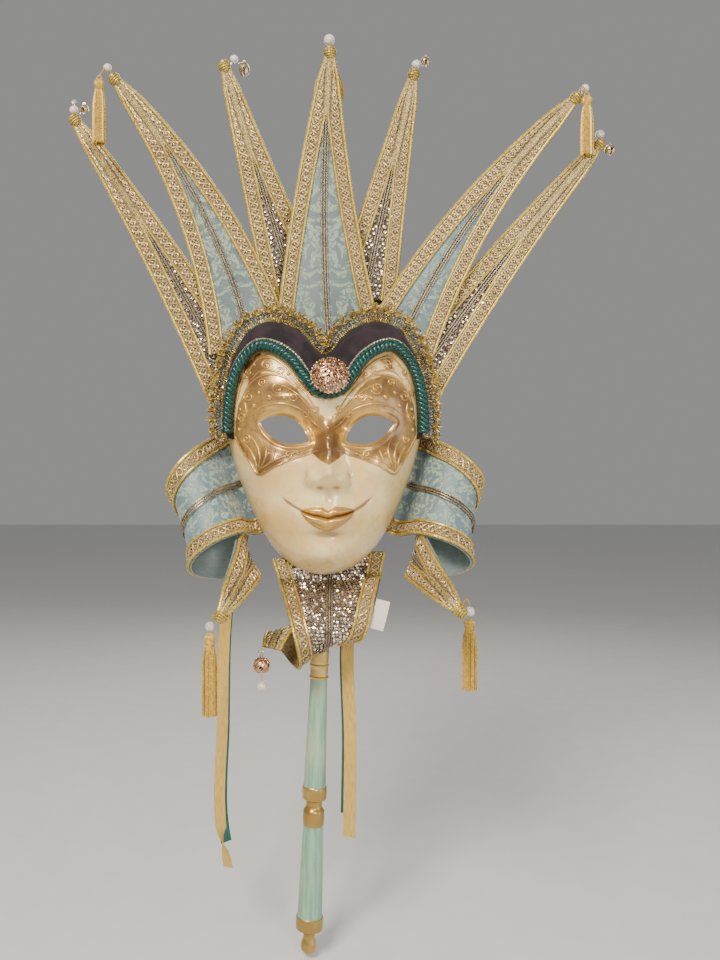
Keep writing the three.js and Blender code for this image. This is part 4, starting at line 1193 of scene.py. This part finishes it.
def panel(strip, seed, puff):
    """The strip's cloth over its card, with a lining on the back and soft unevenness in front."""
    rows = max(30, int(strip.length / 2.6))
    s = np.linspace(0, strip.length - TIP_BALL_R, rows)[:, None]
    u = np.sin(np.linspace(-1, 1, 29) * math.pi / 2)[None, :]
    half = strip.half(s)
    across = u * half
    inner = np.maximum(0.06, 1 - BRAID_W / half)
    pillow = np.clip(1 - (np.abs(u) / inner) ** 2, 0, 1) ** 0.6 * np.clip(half / 30, 0, 1)
    seam = np.exp(-((across / 3.4) ** 2))
    wave = 0.22 * np.sin(s / 7 + seed) * np.cos(across / 5 + seed) + 0.15 * np.sin(s / 17 + across / 3)
    lift = puff * pillow * (1 - 0.8 * seam) + wave * pillow
    front = strip.at(s, across, np.minimum(lift, CURL_SEAT + BRAID_T))
    back = strip.at(s, across, -PANEL_T + 0 * across)[:, ::-1]
    verts = np.concatenate([front, back], axis=1)
    count = verts.shape[1]
    faces, ends = capped(rows, count)
    on_front = faces[:, 0] % count < u.shape[1] - 1
    fits = outside_head(verts.reshape(-1, 3))
    keep = fits[faces].any(axis=1)
    uv = np.concatenate([np.stack([across / 100, s / 100 + 0 * across], axis=-1)] * 2, axis=1)
    uv[:, u.shape[1]:] = uv[:, :u.shape[1]][:, ::-1]
    groups = [faces[keep & on_front], faces[keep & ~on_front], ends[fits[ends].any(axis=1)]]
    return Soup().add(verts, groups, (0, 1, 1), uv)


def add_line(soup, strip, s, across, lift, radius, sides, material):
    """A cord laid along a strip, left out where it would run inside the head."""
    path = strip.at(s, across, lift)
    ups = strip.normal(s)
    keep = outside_head(path)
    change = np.diff(np.concatenate([[0], keep.astype(int), [0]]))
    for a, b in zip(np.flatnonzero(change == 1), np.flatnonzero(change == -1)):
        if b - a >= 4:
            r = radius if np.isscalar(radius) else radius[a:b]
            soup.add(*tube(path[a:b], r, sides, ups[a:b]), material=material)


def add_tape(soup, strip, s, edge, inner, low, high, material):
    """Flat tape between two distances across, on which the braid's cords lie."""
    t = np.linspace(0, 1, 4)
    across = edge[:, None] + (inner - edge)[:, None] * t
    both = np.concatenate([across, across[:, ::-1]], axis=1)
    count = both.shape[1]
    verts = np.concatenate([strip.at(s[:, None], across, high),
                            strip.at(s[:, None], across[:, ::-1], low)], axis=1)
    fits = outside_head(verts.reshape(-1, 3))
    uv = np.stack([both / 100, np.repeat(s[:, None], count, axis=1) / 100], axis=-1)
    soup.add(verts, [faces[fits[faces].all(axis=1)] for faces in capped(len(s), count)], material, uv)


def braid(strip, seat, ball):
    """Both edge braids, the narrow middle braid and the wound ball at the tip."""
    soup = Soup()
    stop = strip.length - (0.4 if ball else 1.0)
    for side in (-1, 1):
        s = np.arange(0.4, stop, 1.3)
        half = strip.half(s)
        width = np.minimum(BRAID_W, half * 0.97)
        edge, inner = half * side, (half - width) * side
        add_tape(soup, strip, s, edge * 0.99, inner, seat * 0.4, seat + 0.55, 2)
        for place, r in ((1.35, 1.4), (BRAID_W - 1.2, 1.15)):
            across = (half - np.minimum(place, width - 0.5)) * side
            knots = r * (1 + 0.16 * np.sin(s / 2.6 * TAU + side))
            add_line(soup, strip, s, across, seat + 0.95, knots, 7, 0)
        for place in (3.4, BRAID_W - 3.1):
            across = (half - np.minimum(place, width - 0.7)) * side
            add_line(soup, strip, s, across, seat + 0.75, 0.42, 5, 1)
        fine = np.arange(0.4, stop, 0.62)
        half = strip.half(fine)
        width = np.minimum(BRAID_W, half * 0.97)
        middle = (half - width / 2) * side
        reach = np.maximum(0.4, width / 2 - 3.7)
        for ply in (0, 1):
            phase = fine / EYELET * math.pi + ply * math.pi
            lift = seat + 1.15 + 0.4 * np.sin(phase * 2 + ply * math.pi)
            add_line(soup, strip, fine, middle + reach * np.sin(phase), lift, 0.8, 6, 1)
        add_knots(soup, strip, np.arange(0.4 + EYELET / 2, stop, EYELET), side, seat)
    s = np.arange(0.4, stop, 1.1)
    spread = np.minimum(RIB_W / 2, strip.half(s) * 0.45) * 0.62
    for ply in (-1, 0, 1):
        zigzag = ply * spread + 0.35 * np.sin(s / 2.2 * TAU + ply)
        add_line(soup, strip, s, zigzag, seat + 1.3 + 0.3 * (ply == 0), 0.62 + 0.12 * (ply == 0), 6, 3)
    if ball:
        add_ball(soup, ball_centre(strip), strip.t[-1], strip.n[-1])
    return soup


def ball_centre(strip):
    return strip.p[-1] + strip.t[-1] * TIP_BALL_OUT + strip.n[-1] * 1.0


def add_ball(soup, centre, way, up):
    """Thread wound over a wooden bead, crossing itself both ways."""
    side = np.cross(way, up)
    core, faces = lathe(ball_profile(TIP_BALL_R - 1.1, 1, 10), 1, 18)
    soup.add(core @ np.stack([side, up, way]) + centre, faces, material=2)
    t = np.linspace(0.02, 0.98, 170)
    for hand, turns, r, slot in ((1, 8, 0.65, 0), (-1, 7, 0.6, 0)):
        polar, spin = t * math.pi, hand * t * turns * TAU
        line = np.stack([np.sin(polar) * np.cos(spin), np.sin(polar) * np.sin(spin), np.cos(polar)], axis=1)
        path = line @ np.stack([side, up, way]) * (TIP_BALL_R - 0.95) + centre
        soup.add(*tube(path, r, 5, path - centre), material=slot)


def add_knots(soup, strip, s, side, seat):
    """A bright knot in each eyelet of an edge braid."""
    half = strip.half(s)
    middle = (half - np.minimum(BRAID_W, half * 0.97) / 2) * side
    centre = strip.at(s, middle, seat + 1.0)
    n, w, fits = strip.normal(s), strip.across(s), outside_head(centre)
    for c, up, over in zip(centre[fits], n[fits], w[fits]):
        verts, faces = lathe(ball_profile(1.05, 0.7, 6), 1, 8)
        soup.add(verts @ np.stack([over, np.cross(up, over), up]) + c, faces, material=4)


PUFF = {"brocade": 1.1, "sequin": 0.5}  # how far a panel swells between its braids
SEQUIN_R = 1.3
SEQUIN_GAPS = (3.7, 3.0)               # between sequins on a spike, and on a curl


def sequins(strip, seed, gap):
    """Cupped discs in offset rows on the net, between the braids."""
    rng = np.random.default_rng(seed)
    rows, rims = [], []
    for row, s in enumerate(np.arange(2, strip.length - 8, gap * 0.87)):
        reach = float(strip.half(s)) - BRAID_W + 1.0
        if reach < 3.2:
            continue
        places = np.arange(-reach, reach, gap) + (row % 2) * gap / 2
        places = places[np.abs(places) > 2.6]
        rows.append(np.full(len(places), s))
        rims.append(places)
    s = np.concatenate(rows) + rng.normal(0, 0.18, sum(map(len, rows)))
    across = np.concatenate(rims) + rng.normal(0, 0.18, len(s))
    centre = strip.at(s, across, 1.05 + 0 * s)
    keep = outside_head(centre)
    centre, s = centre[keep], s[keep]
    n = unit(strip.normal(s) + rng.normal(0, 0.22, (len(s), 3)))
    side = unit(np.cross(n, (0.3, 0.4, 0.85)))
    over = np.cross(n, side)
    soup = Soup()
    corners = 8
    angle = np.arange(corners) / corners * TAU
    size = SEQUIN_R * rng.uniform(0.85, 1.08, (len(s), 1, 1))
    ring = size * (np.cos(angle)[None, :, None] * side[:, None]
                   + np.sin(angle)[None, :, None] * over[:, None])
    front = centre[:, None] + ring + 0.30 * n[:, None]
    back = front - 0.22 * n[:, None]
    dish, under = centre[:, None] + 0.06 * n[:, None], centre[:, None] - 0.16 * n[:, None]
    verts = np.concatenate([front, back, dish, under], axis=1)
    k = np.arange(corners)
    j = (k + 1) % corners
    size_of = 2 * corners + 2
    top = np.stack([k, j, np.full(corners, 2 * corners)], axis=1)
    low = np.stack([corners + j, corners + k, np.full(corners, 2 * corners + 1)], axis=1)
    wall = np.stack([k, corners + k, corners + j, j], axis=1)
    shift = (np.arange(len(s)) * size_of)[:, None, None]
    soup.add(verts, [(faces + shift).reshape(-1, faces.shape[1]) for faces in (top, low, wall)])
    return soup


def strips():
    """Each strip with its node's name, cloth, braid seat and whether it ends in a ball."""
    for name, (base, tip, bow, width, cloth) in SPIKES.items():
        strip = spike_strip(base, tip, bow, width, cloth)
        strip.pinch(*PINCH)
        yield f"spike_{name}", f"braid_{name}", strip, cloth, BRAID_SEAT, True
    for name, (start, axis, out, heading, runs, pitch, width, cloth, ball) in CURLS.items():
        strip = curl_strip(start, axis, out, heading, runs, pitch, width)
        if ball:
            strip.pinch(*PINCH)
        yield name, f"braid_{name}", strip, cloth, CURL_SEAT, ball


def build_strips():
    """Cloth, sequins and braid of every spike and curl."""
    for index, (name, trim, strip, cloth, seat, ball) in enumerate(strips()):
        if cloth == "brocade":
            front = M["sky"] if name in CURLS or name == "spike_right" else M["blue"]
            back = M["lining"] if name in CURLS else M["backing"]
        else:
            front, back = M["net"], M["tape" if name in CURLS else "backing"]
            gap = SEQUIN_GAPS[name in CURLS]
            sequins(strip, 40 + index, gap).piece(f"sequins_{name}", [M["sequin"]], slot="sequin")
        soup = panel(strip, index * 1.7, PUFF[cloth])
        cloth_piece = soup.piece(f"{name}_cloth", [front, back], stands_for=[name], slot=cloth)
        threads = [M["gold"], M["rose"], M["tape"], M["bronze"], M["knot"]]
        braid(strip, seat, ball).piece(f"{trim}_trim", threads, stands_for=[trim], slot="gold_thread")


# ------------------------------------------------------------------ stick, board, block, label, loop

STICK_TOP = (1, -12.5, -168)
STICK_LEAN = 2.2
STICK_PROFILE = [                      # z, radius, share of gold
    (0, 6.8, 1), (-97, 6.8, 1), (-98, 7.5, 1), (-100, 7.8, 1), (-108, 7.6, 1), (-110, 7.5, 1),
    (-111, 8.2, 1),
    (-113, 7.4, 1), (-120, 7.4, 1), (-121, 8.2, 1), (-122.5, 7.6, 1), (-123, 7.1, 0), (-170, 8.3, 0),
    (-212, 9.3, 0), (-213, 10.1, 1), (-217, 10.4, 1), (-223, 10.1, 1), (-225, 6.7, 1), (-230, 6.7, 1),
    (-233, 8.8, 1), (-239, 9.2, 1), (-245, 8.8, 1), (-246, 8.3, 0), (-285, 9.6, 0), (-321, 10.4, 0),
    (-322, 11.3, 1), (-327, 11.6, 1), (-332, 11.3, 1), (-336, 4.8, 1), (-340, 4.8, 1), (-344, 6.3, 1),
    (-347, 6.7, 1), (-350, 6.3, 1), (-353.2, 3.6, 1), (-354, 1.2, 1)]


def build_stick():
    """Turned handle, painted between its gilt rings."""
    segments = 64
    profile = np.array(STICK_PROFILE, float)
    line = np.vstack([np.linspace(a, b, max(2, int(abs(b[0] - a[0]) / 2)), endpoint=False)
                      for a, b in zip(profile, profile[1:])] + [profile[-1:]])
    verts, faces = lathe(line[:, :2], 1, segments)
    turn = np.array(Matrix.Rotation(math.radians(STICK_LEAN), 3, "Y"))
    soup = Soup().add(verts @ turn.T + STICK_TOP, faces)
    obj = soup.piece("turned_stick", [M["stick"]], stands_for=["stick"], slot="painted_wood")
    set_attribute(obj.data, "gilt", np.repeat(line[:, 2], segments))
    obj.data.set_sharp_from_angle(angle=math.radians(35))


def build_loop():
    """Loop of twisted cord, with its two ends whipped to the board."""
    low, high = (np.array(corner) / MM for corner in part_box("hanging_loop"))
    centre = (low + high) / 2
    reach = (high[0] - low[0]) / 2 - 1.1
    turn = np.linspace(0, TAU, 60)
    ring = centre + np.stack([reach * np.cos(turn), 0 * turn, reach * np.sin(turn)], axis=1)
    soup = Soup()
    for ply in range(2):
        line, around = helix(ring, BACK, 0.5, 3.2, ply * math.pi, 0.8)
        soup.add(*tube(line, 0.55, 6, around))
    foot = centre - np.array([0, 0, reach])
    stitch = along(foot - (5, 0, 0), foot + (5, 0, 0), 10)
    soup.add(*tube(stitch + (0, 0.1, 0), 1.0, 8, BACK))
    soup.piece("cord_loop", [M["rayon"]], stands_for=["hanging_loop"], slot="gold_satin")


def build_label():
    """Blank cloth label, bent a little away from its stitched edge."""
    corner, size, lean = (41, -47, -219), (11, 0.5, 24), math.radians(14)
    rows, cols = 15, 9
    v, u = np.meshgrid(np.linspace(0, 1, rows), np.linspace(0, 1, cols), indexing="ij")
    bend = -1.6 * np.sin(v * math.pi * 0.9) * (0.4 + 0.6 * u)
    flat = np.stack([u * size[0], bend, -v * size[2]], axis=-1)
    both = np.concatenate([flat, (flat + (0, size[1], 0))[:, ::-1]], axis=1)
    turn = np.array(Matrix.Rotation(lean, 3, "Y"))
    soup = Soup().add(both.reshape(-1, 3) @ turn.T + corner, capped(rows, both.shape[1]))
    label = soup.piece("blank_label", [M["label"]], stands_for=["care_label"], slot="label_cloth")


def paint_cad(name, material):
    """Gives a CAD piece that stays in view its finished material."""
    data = frame["nodes"][name].data
    data.materials.clear()
    data.materials.append(material)


# ------------------------------------------------------------------ pearls, tassels, bells

THREAD_R = 0.3


def node_centre(name):
    """Middle of a CAD node's box, and half its size."""
    low, high = (np.array(corner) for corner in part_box(name))
    return (low + high) / 2 / MM, (high - low) / 2 / MM


def add_thread(soup, a, b, sag=0.0, material=1, radius=THREAD_R):
    path = along(a, b, 8, sag)
    runs_back = abs(unit(np.asarray(b, float) - a)[1]) >= 0.9
    up = np.array([1.0, 0.0, 0.0]) if runs_back else BACK
    soup.add(*tube(path, radius, 6, up), material=material)


def add_pearl(soup, centre, radius):
    """Drilled pearl, with a knot of thread over each pole."""
    profile = ball_profile(radius, 0.97, 22)
    soup.add(*lathe(profile, 1, 28, centre))
    for end in (-1, 1):
        knot = np.asarray(centre) + (0, 0, end * radius * 0.97)
        soup.add(*lathe(ball_profile(radius * 0.2, 0.7, 6), 1, 10, knot), material=1)


def build_pearls():
    """Pearl threaded to the tip of each spike."""
    for host, spike in SPIKES.items():
        name = f"pearl_{host}"
        centre, half = node_centre(name)
        soup = Soup()
        add_pearl(soup, centre, half[0])
        tip = np.array(spike[1], float)
        add_thread(soup, centre, tip, 0.3)
        add_thread(soup, centre + (0.6, 0, 0.4), tip + (1, 0, 0), 0.6)
        soup.piece(f"{name}_bead", [M["pearl"], M["silver"]], stands_for=[name], slot="pearl")


TASSELS = {                            # hang, length, radius, pearl radius, flatness, body
    "tassel_left": ((-179, -57, 193), 52, 5.2, 0, 1, "left_tassel"),
    "tassel_centre": ((3, -37, 219), 35, 12, 0, 0.4, "centre_tassel"),
    "tassel_right": ((205.5, -57, 180), 49, 5.2, 0, 1, "right_tassel"),
    "tassel_cheek_left": ((-91.5, -60, -234.5), 66, 6, 3.9, 1, "left_cheek_tassel"),
    "tassel_cheek_right": ((112, -62, -222.5), 57, 5.8, 4, 1, "right_cheek_tassel"),
}


def build_tassels():
    """Wound head, bound neck and a skirt of separate strands round a core of more of them."""
    for index, (name, (hang, length, radius, pearl, flat, body)) in enumerate(TASSELS.items()):
        rng = np.random.default_rng(60 + index)
        hang = np.array(hang, float)
        drop = 2 * pearl + 1 if pearl else 0
        top = hang - (0, 0, drop)
        wide = np.array([1, flat, 1])
        head = min(0.9 * radius, 5.6)
        soup = Soup()
        cap = [(-1, 1.2), (-2, 0.55 * head), (-4, 0.8 * head), (-6.5, 0.66 * head), (-7, 0.4 * head)]
        soup.add(*lathe(cap, 4, 28, top, wide))
        for k in range(26):
            angle = k / 26 * TAU
            z = np.array([-1.2, -2.6, -4.2, -6.8])
            r = np.array([0.3, 0.62, 0.84, 0.66]) * head
            ridge = np.stack([r * math.cos(angle), r * math.sin(angle), z], axis=1) * wide + top
            soup.add(*tube(ridge, 0.34, 5, np.array([-math.sin(angle), math.cos(angle), 0.0])))
        turn = np.linspace(0, 4 * TAU, 90)
        neck = np.stack([0.7 * head * np.cos(turn), 0.7 * head * np.sin(turn),
                         -6.2 - turn / TAU * 0.75], axis=1)
        soup.add(*tube(neck * wide + top, 0.45, 5, UP))
        count = 150 if flat == 1 else 170
        for k in range(count):
            angle, share = rng.uniform(0, TAU), math.sqrt(rng.uniform(0.12, 1))
            z = np.linspace(-8, -length + rng.uniform(-0.2, 1.6), 7)
            fall = np.clip((-8 - z) / 16, 0, 1) ** 0.6
            r = share * (0.60 * head + (radius - 0.60 * head) * fall)
            sway = rng.normal(0, 0.22, 2)[:, None] * fall * 1.6 * (1.1 - share)
            strand = np.stack([r * math.cos(angle) + sway[0], r * math.sin(angle) + sway[1], z], axis=1)
            soup.add(*tube(strand * wide + top, 0.36, 4, np.array([-math.sin(angle), math.cos(angle), 0.0])))
        core = [(-7.5, 0.5 * head), (-12, 0.62 * radius), (-length + 3, 0.66 * radius)]
        soup.add(*lathe(core, 4, 20, top, wide))
        if pearl:
            centre = hang - (0, 0, pearl + 0.5)
            beads = Soup()
            add_pearl(beads, centre, pearl)
            add_thread(beads, centre, top - (0, 0, 2))
            other = name.replace("tassel", "pearl")
            beads.piece(f"{other}_bead", [M["pearl"], M["silver"]], body, [other], "pearl")
        else:
            turn = np.linspace(0, TAU, 14, endpoint=False)
            ring = np.stack([1.8 * np.cos(turn), 0 * turn, 1.8 * np.sin(turn)], axis=1) + top - (0, 0, 0.3)
            soup.add(*tube(ring, 0.5, 5, BACK, closed=True))
        soup.piece(f"{name}_strands", [M["rayon"]], body, [name], "gold_satin")


HANGERS = {                            # each cord's crest and lower end, on its way from a tip's ball
    "spike_left": ((-173.5, -53, 203), (-179, -57, 195)),
    "spike_centre": ((6, -45, 229), (3, -37, 221)),
    "spike_right": ((203, -53, 188), (205.5, -57, 182)),
    "cheek_curl_left": ((-89, -59, -230), (-91.5, -60, -234.2)),
    "cheek_curl_right": ((110, -62, -217.5), (112, -62, -221.4)),
}


def build_hangers():
    """Cords that the tassels swing from, and the clear bead by the outer left bell."""
    soup = Soup()
    for name, _, strip, *_ in strips():
        if name not in HANGERS:
            continue
        path = resample(spline([ball_centre(strip), *HANGERS[name]]), 18)
        for ply in range(2):
            line, out = helix(path, np.array([0.2, 1.0, 0.1]), 0.32, 2.2, ply * math.pi, 0.5)
            soup.add(*tube(line, 0.36, 5, out))
    soup.piece("tassel_hangers", [M["rayon"]], slot="gold_satin")
    bead = Soup()
    bead.add(*lathe(ball_profile(2.3, 0.85, 6), 1, 8, (-204.2, -34, 184)))
    add_thread(bead, (-204.2, -34, 185), (-203, -34, 172))
    bead.piece("bead_outer_left", [M["crystal"], M["silver"]], slot="crystal")


BELLS = {                              # centre, radius, stretch, body, style
    "outer_left": ((-196, -34, 178.2), 3.9, 1, "outer_left_bell", "plain"),
    "inner_left": ((-65.5, -34, 210.5), 4.3, 1.4, "inner_left_bell", "melon"),
    "inner_right": ((82, -34, 217), 4, 1, "inner_right_bell", "plain"),
    "outer_right": ((232.5, -34, 145), 4.4, 1, "outer_right_bell", "plain"),
    "chin": ((-51, -60, -269.5), 6.6, 1, "chin_bell", "filigree"),
}
BELL_WALL = 0.7
BELL_SLOT = 1.4
BELL_TIES = {                          # where each small bell's thread starts on its own side
    "outer_left": (-199.2, -34, 174.2), "inner_left": (-70.6, -34, 215.6),
    "inner_right": (78.2, -34, 215.9), "outer_right": (228.6, -34, 147), "chin": (-51, -60, -256),
}


def bell_shell(centre, radius, tall, style):
    """Hollow bell, cut by its slot and the round holes at the slot's ends."""
    segments = 40
    turn = np.linspace(0.05, math.pi - 0.05, 26)
    angle = np.arange(segments) / segments * TAU
    rib = 1 + (0.05 * np.abs(np.cos(angle * 4)) if style == "melon" else 0)
    belt = 1 + 0.045 * np.exp(-((turn - math.pi / 2) / 0.07) ** 2)
    solids = []
    for r, extra in ((radius * 0.97, belt), (radius - BELL_WALL, 1 + 0 * turn)):
        ridges = rib if r > radius - BELL_WALL else 1 + 0 * angle
        reach = r * np.sin(turn)[:, None] * extra[:, None] * ridges
        height = (r * np.cos(turn)[:, None] + 0 * angle) * tall
        verts = np.stack([reach * np.cos(angle), reach * np.sin(angle), height], -1)
        solids.append(Soup().add(verts.reshape(-1, 3) + centre, capped(len(turn), segments)))
    body = loose(solids[0], "bell_body", [M["bell"] if style != "filigree" else M["brass"]])
    half, deep = BELL_SLOT / 2, 2 * radius
    x0, x1 = centre[0] - half, centre[0] + half
    y0, y1 = centre[1] - deep, centre[1] + deep
    z0, z1 = centre[2] - deep, centre[2] - 0.12 * radius
    box = np.array([(x, y, z) for z in (z0, z1) for x, y in ((x0, y0), (x1, y0), (x1, y1), (x0, y1))])
    slot = Soup().add(box, capped(2, 4))
    hole, faces = lathe([(-deep, 0.26 * radius), (deep, 0.26 * radius)], 1, 18)
    hole = hole[:, [0, 2, 1]] + np.asarray(centre) - (0, 0, 0.12 * radius)
    boolean(body, [loose(solids[1], "hollow"), loose(slot, "slot"), loose(Soup().add(hole, faces), "holes")])
    return body


def build_bells():
    for name, (centre, radius, tall, body, style) in BELLS.items():
        shell = bell_shell(centre, radius, tall, style)
        shell.name = f"{'filigree' if style == 'filigree' else 'jingle'}_bell_{name}"
        shell.data.polygons.foreach_set("use_smooth", np.ones(len(shell.data.polygons), bool))
        shell.data.set_sharp_from_angle(angle=math.radians(40))
        placed(shell, body, [f"bell_{name}"], "brass")
        soup = Soup()
        top = np.asarray(centre, float) + (0, 0, radius * tall)
        turn = np.linspace(0, TAU, 14, endpoint=False)
        eye = np.stack([0.9 * np.cos(turn), 0 * turn, 0.9 * np.sin(turn)], axis=1) + top + (0, 0, 0.5)
        soup.add(*tube(eye, 0.32, 6, BACK, closed=True))
        if name != "chin":
            add_thread(soup, BELL_TIES[name], top + (0, 0, 0.6), 0.2)
        else:
            add_filigree(soup, centre, radius)
            add_thread(soup, BELL_TIES[name], top + (0, 0, 0.8), 0, 0, 0.35)
        metal = M["bell"] if style != "filigree" else M["brass"]
        soup.piece(f"bell_eye_{name}", [metal, M["silver"]], body, slot="brass")
        middle, half = node_centre(f"pellet_{name}")
        pellet = Soup().add(*lathe(ball_profile(half[0] * 0.96, 0.96, 12), 1, 18, middle))
        pellet.piece(f"pellet_{name}_ball", [M["bronze"]], body, [f"pellet_{name}"], "brass")


def add_filigree(soup, centre, radius):
    """Wire scrolls over a bell, in two belts."""
    for belt, count in ((0.95, 7), (2.05, 7)):
        for k in range(count):
            t = np.linspace(0, TAU, 16, endpoint=False)
            polar = belt + 0.42 * np.sin(t)
            spin = (k + 0.5 * (belt > 1)) / count * TAU + 0.36 * np.cos(t)
            flat = np.sin(polar)
            out = np.stack([flat * np.cos(spin), flat * np.sin(spin), np.cos(polar)], axis=1)
            soup.add(*tube(out * radius * 0.99 + centre, 0.3, 5, out, closed=True))


def build_chin_drop():
    """Clear bead above the chin bell, and the pearl on a head pin below it."""
    centre, half = node_centre("bead_chin")
    bead = Soup().add(*lathe(ball_profile(half[0], 0.9, 7), 1, 9, centre))
    bead.piece("crystal_chin", [M["crystal"]], "chin_bell", ["bead_chin"], "crystal")
    low, high = (np.array(corner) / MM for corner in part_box("pearl_chin"))
    radius = (high[0] - low[0]) / 2
    centre = np.array([(low[0] + high[0]) / 2, (low[1] + high[1]) / 2, low[2] + radius])
    soup = Soup()
    add_pearl(soup, centre, radius)
    add_thread(soup, centre, (centre[0], centre[1], high[2]), 0, 1, 0.4)
    soup.add(*lathe(ball_profile(0.8, 0.8, 7), 1, 12, centre - (0, 0, radius - 0.4)), material=1)
    soup.piece("pearl_chin_drop", [M["pearl"], M["brass"]], "chin_drop", ["pearl_chin"], "pearl")


# ------------------------------------------------------------------ tie ribbons

RIBBON_T = 0.6
RIBBON_LAYER = 1.6
GREEN_END = 0.94                       # the green ribbons are shorter than the gold ones by so much
# width, turn, how far aside the green one ends, twist, the gold one's route
RIBBONS = {
    "left": (9.5, 25, 3, 120, [
        (-60, -10.5, -118), (-64, -7, -140), (-69, -5, -175), (-78, -5, -210), (-83, -7, -250),
        (-85, -9, -330), (-87, -10, -405), (-80, -11, -450)]),
    "right": (10.5, -20, -3, 0, [
        (60, -10.5, -118), (50, -6, -150), (34, -4, -190), (24, -4.5, -230), (21, -6, -270),
        (23, -9, -340), (22, -10, -425)]),
}


def ribbon(route, width, turn, twist, set_back, aside, end):
    """Satin ribbon along its route: selvedges a little thicker, a slow ripple, a twist near the end."""
    path = resample(spline(route), 150)[:int(150 * end)]
    share = np.linspace(0, end, len(path))
    tangent = unit(np.gradient(path, axis=0))
    late = np.clip((share - 0.88) / 0.1, 0, 1)
    angle = np.radians(turn * share + twist * late ** 2 * (3 - 2 * late))
    across = np.stack([np.cos(angle), np.sin(angle), 0 * angle], axis=1)
    across = unit(across - tangent * np.einsum("ij,ij->i", across, tangent)[:, None])
    back = np.cross(across, tangent)
    back *= np.sign(back[0, 1])
    path = path + back * set_back + across * (aside * share)[:, None]
    u = np.linspace(-1, 1, 13)
    ripple = 0.35 * np.sin(share * 31)[:, None] * np.cos(u * 2.2) * np.sin(math.pi * share)[:, None]
    thick = RIBBON_T / 2 * (0.7 + 0.5 * (np.abs(u) > 0.85))
    sides = []
    for sign in (-1, 1):
        sides.append(path[:, None] + across[:, None] * (u[None, :, None] * width / 2)
                     + back[:, None] * (ripple + sign * thick)[..., None])
    verts = np.concatenate([sides[0], sides[1][:, ::-1]], axis=1)
    count = verts.shape[1]
    run = share / end * np.linalg.norm(np.diff(path, axis=0), axis=1).sum()
    uv = np.stack([np.repeat(np.concatenate([u, u[::-1]])[None] * width / 200, len(path), axis=0),
                   np.repeat(run[:, None] / 100, count, axis=1)], axis=-1)
    return Soup().add(verts, capped(len(path), count), 0, uv), path, run[-1]


def build_ribbons():
    for side, (width, turn, aside, twist, route) in RIBBONS.items():
        for tone in ("gold", "green"):
            if tone == "gold":
                soup, path, length = ribbon(route, width, turn, twist, 0, 0, 1)
            else:
                soup, path, length = ribbon(route, width, turn, 0, RIBBON_LAYER, aside, GREEN_END)
            material = M[f"{tone}_satin"]
            obj = soup.piece(f"{tone}_ribbon_{side}", [material], stands_for=[f"ribbon_{tone}_{side}"],
                             slot=f"{tone}_satin")


add_camera()
build_ribbons()
add_studio()
build_face()
build_relief()
build_cord()
build_velvet()
build_gimp()
build_brooch()
build_strips()
build_stick()
build_loop()
build_label()
build_pearls()
build_tassels()
build_hangers()
build_bells()
build_chin_drop()
paint_cad("crown_board", M["card"])
paint_cad("stick_block", M["wood"])
